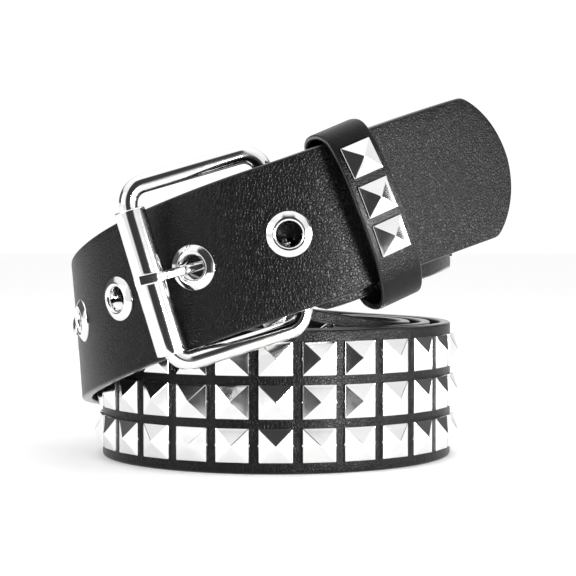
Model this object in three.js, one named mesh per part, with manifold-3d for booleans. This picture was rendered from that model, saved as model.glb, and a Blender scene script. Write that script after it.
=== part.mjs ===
// A black leather belt with rows of pyramid studs, a roller buckle, eyelets and a studded keeper.
// It is fastened and coiled, and stands on its lower edge. Millimetres, +Z up, buckle towards -Y.
// The origin is on the surface that it stands on, under the middle of the belt.

import * as THREE from 'three';
import { mergeVertices } from 'three/addons/utils/BufferGeometryUtils.js';
import Module from 'manifold-3d';

const wasm = await Module();
wasm.setup();

// Clearances
const CLEARANCE = 0.3; // between pieces that touch on the real belt
const LAYER_GAP = 0.4; // from a stud's point to the next turn of leather

// Strap
const STRAP_WIDTH = 40;
const STRAP_THICKNESS = 3;
const TIP_BULGE = 10.5; // how far the middle of the rounded tip stands past its corners

// Studs
const STUD_SIZE = 9.5;
const STUD_HEIGHT = 2.6;
const STUD_SKIRT = 0.7; // straight sides below the pyramid
const STUD_PITCH = 11.7; // along the middle of the leather
const STRAP_STEP = STUD_PITCH / 2; // from one section of the strap to the next
const ROW_PITCH = 12; // across the strap
const ROWS = 3;
const STUD_SEAT = 0.5; // how deep a fused stud is set into the leather
const FRONT_COLUMNS = 6; // columns of separate studs on each side of the front one
const STUD_MARGIN = 26; // from the last eyelet to the first column
const PLAIN_END = 72; // strap without studs, before the fold at the buckle

// Eyelets
const EYELETS = 7;
const FIRST_EYELET = 70.9; // from the end of the tip
const EYELET_PITCH = 27;
const PIERCED = 1; // the prong goes through this one, counted from 0
const EYELET_HOLE = 6.5;
const EYELET_WALL = 0.6;
const EYELET_FLANGE = 12.3;
const EYELET_RAISE = 0.5; // over the middle of the strap
const EYELET_RIM = 0.9; // height of the rolled rim over the leather
const EYELET_BACK = 0.35; // thickness of the flat rim behind the leather

// Buckle
const WIRE = 5;
const BAR_SPACING = 38; // middle of the roller to middle of the bar that the strap folds round
const FRAME_GAP = 2; // from the strap's edge to the frame
const FRAME_SLIDE = 1.2; // how far the frame has slid up in the fold
const FRAME_CORNER = 5.5; // to the middle of the wire
const FRAME_SWING = 2.5; // degrees that the frame has swung up at the roller
const ROLLER_SIZE = 8.3;
const ROLLER_WALL = 0.8;
const ROLLER_LENGTH = 39.9;
const ROLLER_SLIDE = 1.1; // how far the roller has slid down its bar
const PRONG_WIDTH = 2.8;
const PRONG_THICKNESS = 1.6;
const PRONG_OVERHANG = 3.6; // past the middle of the roller
const PRONG_TURN = 3.5; // degrees that it is askew, up at the roller
const PRONG_RUN = 25.7; // along the tip, from the folded bar to the pierced eyelet
const FOLD_TAIL = 34; // strap end behind the fold
const FOLD_WIDTH = 33; // the strap is cut narrower where it folds round the bar
const TIP_GAP = 2.2; // between the tip and the buckle end of the strap

// Keeper
const KEEPER_PLACE = 48.6; // from the end of the tip
const KEEPER_TURN = 2.8; // degrees that its upper end has slid towards the buckle
const KEEPER_WIDTH = 12.5;
const KEEPER_THICKNESS = 1.6;
const KEEPER_BOW = 6; // how far its face stands off the strap
const KEEPER_SLACK = 0.9; // over the strap's upper edge
const KEEPER_DEPTH = 5.2; // behind the buckle end of the strap
const KEEPER_SAG = 2.3; // under the buckle end's lower edge
const KEEPER_STUD_PITCH = 10.9;
const KEEPER_STUDS_UP = 2.9; // middle stud over the middle of the strap

// Coil
const COIL_RADIUS = 51.2; // to the middle of the leather, in the outermost level turn
const LAYER_PITCH = STRAP_THICKNESS + STUD_HEIGHT + LAYER_GAP;

// Route of the middle line of the strap, from the tip to the buckle. turn is degrees round the
// coil from the front, clockwise from above. The distance out is spread x COIL_RADIUS plus
// layer x LAYER_PITCH, and the height is height x STRAP_WIDTH. lean is degrees that its upper
// edge leans out.
const ROUTE = [
  // tip, nearly straight beyond the keeper, and falling past the buckle
  { turn: -57, spread: 1.49, layer: 0, height: 2.18, lean: -8 },
  { turn: -48.8, spread: 1.423, layer: 0, height: 2.11, lean: -6 },
  { turn: -38.6, spread: 1.37, layer: 0, height: 2.015, lean: -3 },
  { turn: -28.3, spread: 1.358, layer: 0, height: 1.92, lean: 0 },
  { turn: -18, spread: 1.372, layer: 0, height: 1.81, lean: 2 },
  { turn: -8, spread: 1.36, layer: 0, height: 1.695, lean: 3 },
  { turn: 4, spread: 1.344, layer: 0, height: 1.575, lean: 3 },
  { turn: 18, spread: 1.335, layer: 0, height: 1.425, lean: 3 },
  { turn: 32, spread: 1.31, layer: 0, height: 1.28, lean: 4 },
  // round the left and the back, down to the surface
  { turn: 46, spread: 1.26, layer: 0, height: 1.14, lean: 5 },
  { turn: 62, spread: 1.185, layer: 0, height: 1.025, lean: 5.5 },
  { turn: 80, spread: 1.138, layer: 0, height: 0.93, lean: 4.5 },
  { turn: 100, spread: 1.135, layer: 0, height: 0.85, lean: 3.5 },
  { turn: 125, spread: 1.13, layer: 0, height: 0.75, lean: 2.5 },
  { turn: 150, spread: 1.125, layer: 0, height: 0.65, lean: 1.5 },
  { turn: 180, spread: 1.1, layer: 0, height: 0.545, lean: 0.5 },
  { turn: 210, spread: 1.06, layer: 0, height: 0.5, lean: 0 },
  { turn: 240, spread: 1.025, layer: 0, height: 0.5, lean: 0 },
  { turn: 270, spread: 1, layer: 0, height: 0.5, lean: 0 },
  // outermost level turn
  { turn: 330, spread: 1, layer: 0, height: 0.5, lean: 0 },
  { turn: 390, spread: 1, layer: 0, height: 0.5, lean: 0 },
  { turn: 450, spread: 1, layer: 0, height: 0.5, lean: 0 },
  { turn: 510, spread: 1, layer: -0.25, height: 0.5, lean: 0 },
  { turn: 570, spread: 1, layer: -0.7, height: 0.5, lean: 0 },
  // second turn
  { turn: 630, spread: 1, layer: -1, height: 0.5, lean: 0 },
  { turn: 690, spread: 1, layer: -1, height: 0.5, lean: 0 },
  { turn: 750, spread: 1, layer: -1, height: 0.5, lean: 0 },
  { turn: 810, spread: 1, layer: -1.05, height: 0.5, lean: 0 },
  { turn: 870, spread: 1, layer: -1.3, height: 0.5, lean: 0 },
  { turn: 930, spread: 1, layer: -1.75, height: 0.5, lean: 0 },
  // third turn, rising inside the others
  { turn: 990, spread: 1, layer: -2, height: 0.5, lean: 0 },
  { turn: 1030, spread: 1, layer: -2.05, height: 0.51, lean: 0 },
  { turn: 1080, spread: 1, layer: -2.1, height: 0.66, lean: 0 },
  { turn: 1130, spread: 1, layer: -2.1, height: 0.9, lean: 0 },
  { turn: 1180, spread: 1, layer: -2.1, height: 1.17, lean: 0 },
  { turn: 1225, spread: 1, layer: -2.05, height: 1.42, lean: 0 },
  // over the outer turns at the back, and round the right to the front
  { turn: 1260, spread: 1, layer: -1.8, height: 1.58, lean: 0 },
  { turn: 1290, spread: 1, layer: -1.1, height: 1.69, lean: 0 },
  { turn: 1318, spread: 1, layer: -0.15, height: 1.79, lean: 0 },
  { turn: 1345, spread: 0.975, layer: 0, height: 1.88, lean: 0 },
  { turn: 1370, spread: 1.02, layer: 0, height: 1.92, lean: 0 },
  { turn: 1388, spread: 1.11, layer: 0, height: 1.89, lean: 0 },
  { turn: 1402, spread: 1.21, layer: 0, height: 1.83, lean: 0 },
];
const TURNS_UNDER_TIP = 4; // the buckle end lies behind the tip this many turns later

// The buckle end behind the tip: before is degrees ahead of the buckle's bar, and drop is how far
// it lies lower than the tip, in shares of STRAP_WIDTH.
const BUCKLE_END = [
  { before: 24, drop: 0.068 },
  { before: 16, drop: 0.078 },
  { before: 8, drop: 0.075 },
  { before: 0, drop: 0.035 },
];

// The keeper's loop seen along the strap. up is a share of the half height that it has to clear,
// out a share of the distance from the strap's face to the bowed front, and in a share of the
// distance back to the buckle end's inner face.
const KEEPER_LOOP = [
  { up: 1, out: 0.22, in: 0 },
  { up: 0.82, out: 0.65, in: 0 },
  { up: 0.45, out: 0.93, in: 0 },
  { up: 0, out: 1, in: 0 },
  { up: -0.45, out: 0.93, in: 0 },
  { up: -0.8, out: 0.62, in: 0 },
  { up: -1, out: 0.05, in: 0 },
  { up: -1, out: 0, in: 0.78 },
  { up: -0.8, out: 0, in: 1 },
  { up: 0, out: 0, in: 1 },
  { up: 0.8, out: 0, in: 1 },
  { up: 0.97, out: 0, in: 0.75 },
];

// The prong's way up through the pierced eyelet. along is a share of the eyelet's half width, from
// its middle towards the roller, and out a share of STRAP_THICKNESS, from the middle of the tip.
const PRONG_WAY = [
  { along: -1, out: -1.35 },
  { along: -0.65, out: -1.25 },
  { along: -0.28, out: -0.83 },
  { along: 0.3, out: 0.8 },
];

const vector = (x, y, z) => new THREE.Vector3(x, y, z);
const UP = vector(0, 0, 1);
const range = (count) => Array.from({ length: count }, (_, k) => k);

// A smooth value between table rows: a uniform cubic B-spline, held at both ends of the table.
function blendRows(rows, column, place) {
  const first = Math.floor(place);
  const x = place - first;
  const value = (k) => rows[THREE.MathUtils.clamp(first + k, 0, rows.length - 1)][column];
  const early = (1 - x) ** 3 * value(-1) + (3 * x ** 3 - 6 * x ** 2 + 4) * value(0);
  const late = (-3 * x ** 3 + 3 * x ** 2 + 3 * x + 1) * value(1) + x ** 3 * value(2);
  return (early + late) / 6;
}

// The middle line of the strap, measured by distance from its tip.
class Route {
  constructor(rows) {
    this.samples = [];
    const steps = 40;
    let distance = 0;
    for (let i = -steps; i <= rows.length * steps; i++) {
      const place = i / steps;
      const turn = blendRows(rows, 'turn', place);
      const angle = THREE.MathUtils.degToRad(turn);
      const out =
        COIL_RADIUS * blendRows(rows, 'spread', place) +
        LAYER_PITCH * blendRows(rows, 'layer', place);
      const height = STRAP_WIDTH * blendRows(rows, 'height', place);
      const point = vector(-out * Math.sin(angle), -out * Math.cos(angle), height);
      const lean = blendRows(rows, 'lean', place);
      const last = this.samples.at(-1);
      if (last) distance += point.distanceTo(last.point);
      if (!last || distance > last.distance) this.samples.push({ turn, point, lean, distance });
    }
    this.length = distance;
  }

  // The sample at a value of one of its growing columns, distance or turn.
  find(column, value) {
    const samples = this.samples;
    let low = 0;
    let high = samples.length - 1;
    while (high - low > 1) {
      const middle = (low + high) >> 1;
      if (samples[middle][column] > value) high = middle;
      else low = middle;
    }
    const from = samples[low];
    const to = samples[high];
    const share = THREE.MathUtils.clamp(
      (value - from[column]) / (to[column] - from[column]), 0, 1);
    return {
      turn: THREE.MathUtils.lerp(from.turn, to.turn, share),
      distance: THREE.MathUtils.lerp(from.distance, to.distance, share),
      lean: THREE.MathUtils.lerp(from.lean, to.lean, share),
      point: from.point.clone().lerp(to.point, share),
    };
  }

  point(distance) {
    return this.find('distance', distance).point;
  }

  along(distance) {
    const reach = STRAP_STEP / 2;
    return this.point(distance + reach).sub(this.point(distance - reach)).normalize();
  }

  // Point and directions at a distance: along the strap, out of its grain side, and up its width.
  frame(distance) {
    const along = this.along(distance);
    const out = UP.clone().cross(along).normalize();
    const up = along.clone().cross(out);
    const { point, lean } = this.find('distance', distance);
    const angle = -THREE.MathUtils.degToRad(lean);
    out.applyAxisAngle(along, angle);
    up.applyAxisAngle(along, angle);
    return { point, along, out, up };
  }
}

// A closed mesh from rings of corners, each ring joined to the next. A loop joins its last ring
// to its first, and an open run has flat ends.
function skin(rings, isLoop) {
  const corners = rings[0].length;
  const positions = rings.flat().flatMap((p) => [p.x, p.y, p.z]);
  const index = [];
  const joins = isLoop ? rings.length : rings.length - 1;
  for (let i = 0; i < joins; i++) {
    const here = i * corners;
    const next = ((i + 1) % rings.length) * corners;
    for (let k = 0; k < corners; k++) {
      const l = (k + 1) % corners;
      index.push(here + k, next + k, next + l, here + k, next + l, here + l);
    }
  }
  if (!isLoop) {
    const end = (rings.length - 1) * corners;
    for (let k = 1; k < corners - 1; k++) {
      index.push(0, k, k + 1);
      index.push(end, end + k + 1, end + k);
    }
  }
  const geometry = new THREE.BufferGeometry();
  geometry.setAttribute('position', new THREE.Float32BufferAttribute(positions, 3));
  geometry.setIndex(index);
  return geometry;
}

function toSolid(geometry, matrix) {
  const bare = geometry.clone();
  bare.deleteAttribute('normal');
  bare.deleteAttribute('uv');
  if (matrix) bare.applyMatrix4(matrix);
  const merged = mergeVertices(bare, 1e-4);
  return new wasm.Manifold(new wasm.Mesh({
    numProp: 3,
    vertProperties: new Float32Array(merged.attributes.position.array),
    triVerts: new Uint32Array(merged.index.array),
  }));
}

function toGeometry(solid) {
  const mesh = solid.getMesh();
  const geometry = new THREE.BufferGeometry();
  geometry.setAttribute('position', new THREE.BufferAttribute(mesh.vertProperties, 3));
  geometry.setIndex(new THREE.BufferAttribute(mesh.triVerts, 1));
  geometry.computeVertexNormals();
  return geometry;
}

// Matrix of a piece whose X, Y and Z lie along, up and out of the strap.
function placed(point, along, up, out) {
  return new THREE.Matrix4().makeBasis(along, up, out).setPosition(point);
}

const rivetOf = (frame, up, out) =>
  placed(
    frame.point.clone().addScaledVector(frame.up, up).addScaledVector(frame.out, out),
    frame.up.clone().cross(frame.out), frame.up, frame.out);

// Route: the tip first, because the buckle end lies behind it.
const tip = new Route(ROUTE);
const piercedPlace = FIRST_EYELET + PIERCED * EYELET_PITCH;
const barPlace = piercedPlace - PRONG_RUN;
const barTurn = tip.find('distance', barPlace).turn;

function rowBehindTip({ before, drop }) {
  const { turn, point, lean } = tip.find('turn', barTurn - before);
  const out = Math.hypot(point.x, point.y) - STRAP_THICKNESS - TIP_GAP;
  return {
    turn: turn + 360 * TURNS_UNDER_TIP,
    spread: out / COIL_RADIUS,
    layer: 0,
    height: point.z / STRAP_WIDTH - drop,
    lean,
  };
}

const route = new Route([...ROUTE, ...BUCKLE_END.map(rowBehindTip)]);

// Buckle: its two bars lie square to the strap where the strap folds and where it passes the roller.
const foldRadius = WIRE / 2 + CLEARANCE + STRAP_THICKNESS / 2;
const strapEnd = { ...tip.frame(barPlace), point: route.point(route.length) };
const rollerOut = STRAP_THICKNESS / 2 + ROLLER_SIZE / 2 + CLEARANCE;

function buckleUp(rollerFrame) {
  const up = strapEnd.up.clone().add(rollerFrame.up);
  up.addScaledVector(strapEnd.out, -up.dot(strapEnd.out)).normalize();
  return up.applyAxisAngle(strapEnd.out, -THREE.MathUtils.degToRad(FRAME_SWING));
}

// The frame's axes for a roller held against the strap at a distance from the tip.
function buckleAt(distance) {
  const frame = route.frame(distance);
  const up = buckleUp(frame);
  const tilt = Math.abs(up.dot(frame.out)) * (STRAP_WIDTH / 2);
  const bar = strapEnd.point.clone().addScaledVector(strapEnd.out, -foldRadius);
  bar.addScaledVector(up, FRAME_SLIDE);
  const roller = frame.point.clone().addScaledVector(frame.out, rollerOut + tilt);
  const across = bar.clone().sub(roller);
  across.addScaledVector(up, -across.dot(up));
  return { bar, up, spacing: across.length(), along: across.normalize() };
}

function rollerPlace() {
  let near = piercedPlace;
  let far = piercedPlace + BAR_SPACING;
  for (const _ of range(30)) {
    const middle = (near + far) / 2;
    if (buckleAt(middle).spacing > BAR_SPACING) far = middle;
    else near = middle;
  }
  return near;
}

const buckle = buckleAt(rollerPlace());
const buckleOut = buckle.along.clone().cross(buckle.up);
const buckleMatrix = placed(buckle.bar, buckle.along, buckle.up, buckleOut);

// Strap
const frontPlace = route.find('turn', 360).distance;
const black = { color: 0x141414, roughness: 0.55, metalness: 0 };
const steel = { color: 0xd8d8da, roughness: 0.16, metalness: 1 };
const leather = new THREE.MeshStandardMaterial(black);

function halfWidthAt(distance) {
  if (distance >= TIP_BULGE) return STRAP_WIDTH / 2;
  const radius = (STRAP_WIDTH ** 2 / 4 + TIP_BULGE ** 2) / (2 * TIP_BULGE);
  return Math.sqrt(2 * radius * distance - distance ** 2);
}

function strapRing(point, up, out, halfWidth) {
  const half = STRAP_THICKNESS / 2;
  const corner = (w, t) => point.clone().addScaledVector(up, w).addScaledVector(out, t);
  return [
    corner(-halfWidth, -half), corner(halfWidth, -half),
    corner(halfWidth, half), corner(-halfWidth, half),
  ];
}

// Sections beyond the rounded tip, in step with the columns of studs.
function sectionPlaces() {
  const least = STRAP_STEP / 4;
  const first = Math.ceil((TIP_BULGE + least - frontPlace) / STRAP_STEP);
  const last = Math.floor((route.length - least - frontPlace) / STRAP_STEP);
  const steps = range(last - first + 1).map((k) => frontPlace + (first + k) * STRAP_STEP);
  return [TIP_BULGE, ...steps, route.length];
}

function strapRings() {
  const rings = [];
  const tipSteps = [0.03, 0.12, 0.28, 0.5, 0.75];
  for (const share of tipSteps) {
    const distance = share * TIP_BULGE;
    const { point, up, out } = route.frame(distance);
    rings.push(strapRing(point, up, out, halfWidthAt(distance)));
  }
  // The last stretch turns a little, until its width lies along the buckle's bar.
  const twist = 4 * STRAP_STEP;
  for (const distance of sectionPlaces()) {
    const { point, along, up } = route.frame(distance);
    const share = THREE.MathUtils.smoothstep(distance, route.length - twist, route.length);
    up.lerp(buckle.up, share).normalize();
    const halfWidth = (distance < route.length ? STRAP_WIDTH : FOLD_WIDTH) / 2;
    rings.push(strapRing(point, up, up.clone().cross(along), halfWidth));
  }
  // Fold round the bar, then the end laid back inside the strap.
  const foldSteps = 6;
  const foldMiddle = strapEnd.point.clone().addScaledVector(strapEnd.out, -foldRadius);
  const side = strapEnd.out.clone().cross(buckle.up);
  for (const k of range(foldSteps).map((n) => n + 1)) {
    const angle = (Math.PI * k) / foldSteps;
    const out = strapEnd.out.clone().multiplyScalar(Math.cos(angle));
    out.addScaledVector(side, Math.sin(angle));
    const point = foldMiddle.clone().addScaledVector(out, foldRadius);
    rings.push(strapRing(point, buckle.up, out, FOLD_WIDTH / 2));
  }
  const close = STRAP_THICKNESS + CLEARANCE;
  for (let back = STRAP_STEP; back <= FOLD_TAIL; back += STRAP_STEP) {
    const { point, out } = route.frame(route.length - back);
    const share = THREE.MathUtils.smoothstep(back, 0, FOLD_TAIL / 2);
    const inward = THREE.MathUtils.lerp(2 * foldRadius, close, share);
    const up = buckle.up.clone().addScaledVector(out, -buckle.up.dot(out)).normalize();
    point.addScaledVector(out, -inward);
    rings.push(strapRing(point, up, out.negate(), FOLD_WIDTH / 2));
  }
  return rings;
}

// A stud: a square skirt with a pyramid on it. depth is how far the skirt reaches below the leather.
function studGeometry(depth) {
  const half = STUD_SIZE / 2;
  const square = (z) => [-half, -half, z, half, -half, z, half, half, z, -half, half, z];
  const positions = [...square(-depth), ...square(STUD_SKIRT), 0, 0, STUD_HEIGHT];
  const index = [0, 3, 2, 0, 2, 1];
  for (const k of range(4)) {
    const next = (k + 1) % 4;
    index.push(k, next, 4 + next, k, 4 + next, 4 + k);
    index.push(4 + k, 4 + next, 8);
  }
  const geometry = new THREE.BufferGeometry();
  geometry.setAttribute('position', new THREE.Float32BufferAttribute(positions, 3));
  geometry.setIndex(index);
  return geometry;
}

const rowPlaces = (pitch) => range(ROWS).map((row) => (row - (ROWS - 1) / 2) * pitch);
const rows = rowPlaces(ROW_PITCH);
const lastEyelet = FIRST_EYELET + (EYELETS - 1) * EYELET_PITCH;
const firstColumn = Math.ceil((lastEyelet + STUD_MARGIN - frontPlace) / STUD_PITCH);
const lastColumn = Math.floor((route.length - PLAIN_END - frontPlace) / STUD_PITCH);

function studMatrix(column, row, lift) {
  const frame = route.frame(frontPlace + column * STUD_PITCH);
  return rivetOf(frame, row, STRAP_THICKNESS / 2 + lift);
}

// Eyelets
const holeRadius = EYELET_HOLE / 2 + EYELET_WALL + CLEARANCE;
const eyeletPlaces = range(EYELETS).map((k) => FIRST_EYELET + k * EYELET_PITCH);
const eyeletMatrix = (place) => rivetOf(route.frame(place), EYELET_RAISE, 0);
const eyeletSag = EYELET_FLANGE ** 2 / (8 * COIL_RADIUS * 1.1);

function eyeletGeometry() {
  const bore = EYELET_HOLE / 2;
  const wall = bore + EYELET_WALL;
  const flange = EYELET_FLANGE / 2;
  const seat = STRAP_THICKNESS / 2 + CLEARANCE;
  const back = -seat - eyeletSag;
  const profile = [
    [bore, back - EYELET_BACK], [flange * 0.9, back - EYELET_BACK],
    [flange * 0.9, back], [wall, back],
    [wall, seat], [flange, seat],
    [flange, seat + EYELET_RIM * 0.35], [flange * 0.8, seat + EYELET_RIM],
    [bore + EYELET_WALL, seat + EYELET_RIM * 0.7], [bore, seat],
    [bore, back - EYELET_BACK],
  ];
  const points = profile.map(([r, y]) => new THREE.Vector2(r, y));
  return new THREE.LatheGeometry(points, 10).rotateX(Math.PI / 2);
}

function eyeletHole() {
  const hole = new THREE.CylinderGeometry(holeRadius, holeRadius, 2 * STRAP_THICKNESS, 12);
  return hole.rotateX(Math.PI / 2);
}

// The pierced eyelet in the buckle's axes. The prong and its slot in the fold are level with it.
const piercedFrame = route.frame(piercedPlace);
const pierced = piercedFrame.point.clone().addScaledVector(piercedFrame.up, EYELET_RAISE)
  .applyMatrix4(buckleMatrix.clone().invert());
const curlRadius = WIRE / 2 + CLEARANCE + PRONG_THICKNESS / 2;
const curlOuter = curlRadius + PRONG_THICKNESS / 2;
const prongTurn = THREE.MathUtils.degToRad(PRONG_TURN);
const prongSeat = pierced.y + pierced.x * Math.tan(prongTurn);

function prongSlot() {
  const outer = foldRadius + STRAP_THICKNESS / 2;
  const left = outer + CLEARANCE;
  const right = curlOuter + 2 * CLEARANCE;
  const top = outer + CLEARANCE / 2;
  const bottom = outer + STRAP_THICKNESS;
  const slot = new THREE.BoxGeometry(left + right, PRONG_WIDTH + 4 * CLEARANCE, top + bottom);
  return slot.translate((right - left) / 2, prongSeat, (top - bottom) / 2);
}

function strapMesh() {
  let strap = toSolid(skin(strapRings(), false));
  for (const place of eyeletPlaces) {
    strap = strap.subtract(toSolid(eyeletHole(), eyeletMatrix(place)));
  }
  strap = strap.subtract(toSolid(prongSlot(), buckleMatrix));
  const stud = studGeometry(STUD_SEAT);
  for (let column = firstColumn; column <= lastColumn; column++) {
    if (Math.abs(column) <= FRONT_COLUMNS) continue;
    for (const row of rows) strap = strap.add(toSolid(stud, studMatrix(column, row, 0)));
  }
  const mesh = new THREE.Mesh(toGeometry(strap), leather);
  mesh.name = 'strap';
  return mesh;
}

// A mesh placed by a matrix, through its position and rotation.
function meshAt(name, geometry, material, matrix) {
  const mesh = new THREE.Mesh(geometry, material);
  mesh.name = name;
  if (matrix) matrix.decompose(mesh.position, mesh.quaternion, mesh.scale);
  return mesh;
}

function frontStuds() {
  const metal = new THREE.MeshStandardMaterial(steel);
  const geometry = studGeometry(0);
  const studs = [];
  for (const column of range(2 * FRONT_COLUMNS + 1)) {
    rows.forEach((row, k) => {
      const matrix = studMatrix(column - FRONT_COLUMNS, row, CLEARANCE);
      studs.push(meshAt(`stud_${column + 1}_${k + 1}`, geometry, metal, matrix));
    });
  }
  return studs;
}

function eyelets() {
  const metal = new THREE.MeshStandardMaterial(steel);
  const geometry = eyeletGeometry();
  return eyeletPlaces.map((place, k) =>
    meshAt(`eyelet_${k + 1}`, geometry, metal, eyeletMatrix(place)));
}

// Buckle pieces, in the buckle's own axes: X from the roller to the folded bar, Y along the bars
function buckleFrame() {
  const left = -BAR_SPACING;
  const half = STRAP_WIDTH / 2 + FRAME_GAP + WIRE / 2;
  const corners = [
    { x: 0, y: half, turn: 0 }, { x: left, y: half, turn: 90 },
    { x: left, y: -half, turn: 180 }, { x: 0, y: -half, turn: 270 },
  ];
  const rings = [];
  for (const { x, y, turn } of corners) {
    const inX = x - Math.sign(x - left / 2) * FRAME_CORNER;
    const inY = y - Math.sign(y) * FRAME_CORNER;
    const middle = vector(inX, inY, 0);
    for (const k of range(6)) {
      const angle = THREE.MathUtils.degToRad(turn + 18 * k);
      const away = vector(Math.cos(angle), Math.sin(angle), 0);
      const point = middle.clone().addScaledVector(away, FRAME_CORNER);
      rings.push(range(10).map((n) => {
        const roll = (2 * Math.PI * n) / 10;
        const corner = point.clone().addScaledVector(away, (Math.cos(roll) * WIRE) / 2);
        return corner.setZ((Math.sin(roll) * WIRE) / 2);
      }));
    }
  }
  return skin(rings, true);
}

function rollerGeometry() {
  const outer = ROLLER_SIZE / 2;
  const bore = outer - ROLLER_WALL;
  const half = ROLLER_LENGTH / 2;
  const edge = 0.4;
  const profile = [
    [bore, -half], [outer - edge, -half], [outer, -half + edge],
    [outer, half - edge], [outer - edge, half], [bore, half], [bore, -half],
  ];
  return new THREE.LatheGeometry(profile.map(([r, y]) => new THREE.Vector2(r, y)), 20)
    .translate(-BAR_SPACING, -ROLLER_SLIDE, 0);
}

// The prong seen along the bars: a curl round the bar, out through the pierced eyelet, and over
// the roller. Its outline is the middle line carried out by half the thickness on both sides.
function prongLine() {
  const points = [];
  for (const k of range(11)) {
    const angle = THREE.MathUtils.degToRad(-160 + 25 * k);
    points.push(new THREE.Vector2(curlRadius * Math.cos(angle), curlRadius * Math.sin(angle)));
  }
  const along = piercedFrame.along;
  const ahead = new THREE.Vector2(along.dot(buckle.along), along.dot(buckleOut)).normalize();
  const outward = new THREE.Vector2(ahead.y, -ahead.x);
  const throughEyelet = PRONG_WAY.map((row) =>
    new THREE.Vector2(pierced.x, pierced.z)
      .addScaledVector(ahead, (row.along * EYELET_FLANGE) / 2)
      .addScaledVector(outward, row.out * STRAP_THICKNESS));
  const overRoller = ROLLER_SIZE / 2 + CLEARANCE + PRONG_THICKNESS / 2;
  const curve = new THREE.SplineCurve([
    new THREE.Vector2(0, curlRadius),
    new THREE.Vector2(-curlRadius, curlRadius * 0.9),
    ...throughEyelet,
    new THREE.Vector2(-BAR_SPACING + overRoller * 0.78, overRoller * 0.7),
    new THREE.Vector2(-BAR_SPACING + overRoller * 0.36, overRoller * 0.97),
    new THREE.Vector2(-BAR_SPACING, overRoller * 1.01),
    new THREE.Vector2(-BAR_SPACING - PRONG_OVERHANG, overRoller * 0.97),
  ]);
  return [...points, ...curve.getPoints(28).slice(1)];
}

function prongGeometry() {
  const line = prongLine();
  const half = PRONG_THICKNESS / 2;
  const outer = [];
  const inner = [];
  line.forEach((point, k) => {
    const ahead = line[Math.min(k + 1, line.length - 1)];
    const behind = line[Math.max(k - 1, 0)];
    const side = ahead.clone().sub(behind).normalize();
    const normal = new THREE.Vector2(side.y, -side.x);
    outer.push(point.clone().addScaledVector(normal, half));
    inner.unshift(point.clone().addScaledVector(normal, -half));
  });
  const shape = new THREE.Shape([...outer, ...inner]);
  const settings = { depth: PRONG_WIDTH, bevelEnabled: false };
  return new THREE.ExtrudeGeometry(shape, settings)
    .translate(0, 0, -PRONG_WIDTH / 2)
    .rotateX(Math.PI / 2)
    .rotateZ(-prongTurn)
    .translate(0, prongSeat, 0);
}

function buckleGroup() {
  const metal = new THREE.MeshStandardMaterial(steel);
  const group = new THREE.Group();
  buckleMatrix.decompose(group.position, group.quaternion, group.scale);
  group.add(meshAt('buckle_frame', buckleFrame(), metal));
  group.add(meshAt('roller', rollerGeometry(), metal));
  group.add(meshAt('prong', prongGeometry(), metal));
  return group;
}

// Keeper: a loop of leather round the tip and the buckle end, with its own studs
const keeperFrame = route.frame(KEEPER_PLACE);
for (const way of [keeperFrame.up, keeperFrame.along]) {
  way.applyAxisAngle(keeperFrame.out, THREE.MathUtils.degToRad(KEEPER_TURN));
}
const keeperHalf = KEEPER_THICKNESS / 2;
const keeperDrop = BUCKLE_END[0].drop * STRAP_WIDTH;
const keeperTop = STRAP_WIDTH / 2 + KEEPER_SLACK + keeperHalf;
const keeperBottom = STRAP_WIDTH / 2 + keeperDrop + KEEPER_SAG + keeperHalf;
const keeperTall = (keeperTop + keeperBottom) / 2;
const keeperFace = STRAP_THICKNESS / 2 + keeperHalf + KEEPER_BOW;
const keeperBack = (STRAP_THICKNESS * 3) / 2 + TIP_GAP + keeperHalf + KEEPER_DEPTH;

// Points of the loop as x, up the strap, and y, out of it.
const keeperCurve = new THREE.CatmullRomCurve3(
  KEEPER_LOOP.map((row) => vector(
    row.up * keeperTall + (keeperTop - keeperBottom) / 2,
    row.out * keeperFace - row.in * keeperBack, 0)),
  true);

const keeperSpot = (x, y) =>
  keeperFrame.point.clone().addScaledVector(keeperFrame.up, x).addScaledVector(keeperFrame.out, y);

function keeperGeometry() {
  const steps = 30;
  const rings = range(steps).map((k) => {
    const middle = keeperCurve.getPointAt(k / steps);
    const heading = keeperCurve.getTangentAt(k / steps);
    const ring = [];
    for (const [side, edge] of [[1, 1], [1, -1], [-1, -1], [-1, 1]]) {
      const x = middle.x + heading.y * side * keeperHalf;
      const y = middle.y - heading.x * side * keeperHalf;
      ring.push(keeperSpot(x, y).addScaledVector(keeperFrame.along, (edge * KEEPER_WIDTH) / 2));
    }
    return ring;
  });
  return skin(rings, true);
}

// The place on the keeper's bowed face at a height up the strap.
function keeperFaceAt(height) {
  let above = 0;
  let below = 0.5;
  for (const _ of range(30)) {
    const middle = (above + below) / 2;
    if (keeperCurve.getPointAt(middle).x > height) above = middle;
    else below = middle;
  }
  return above;
}

function keeperStuds() {
  const metal = new THREE.MeshStandardMaterial(steel);
  const geometry = studGeometry(0);
  return rowPlaces(KEEPER_STUD_PITCH).map((row, k) => {
    const place = keeperFaceAt(row + KEEPER_STUDS_UP);
    const middle = keeperCurve.getPointAt(place);
    const heading = keeperCurve.getTangentAt(place);
    const seat = keeperHalf + CLEARANCE;
    const out = keeperFrame.up.clone().multiplyScalar(-heading.y);
    out.addScaledVector(keeperFrame.out, heading.x).multiplyScalar(-1);
    const up = out.clone().cross(keeperFrame.along).normalize();
    const point = keeperSpot(middle.x, middle.y).addScaledVector(out, seat);
    const matrix = placed(point, up.clone().cross(out), up, out);
    return meshAt(`keeper_stud_${k + 1}`, geometry, metal, matrix);
  });
}

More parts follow.
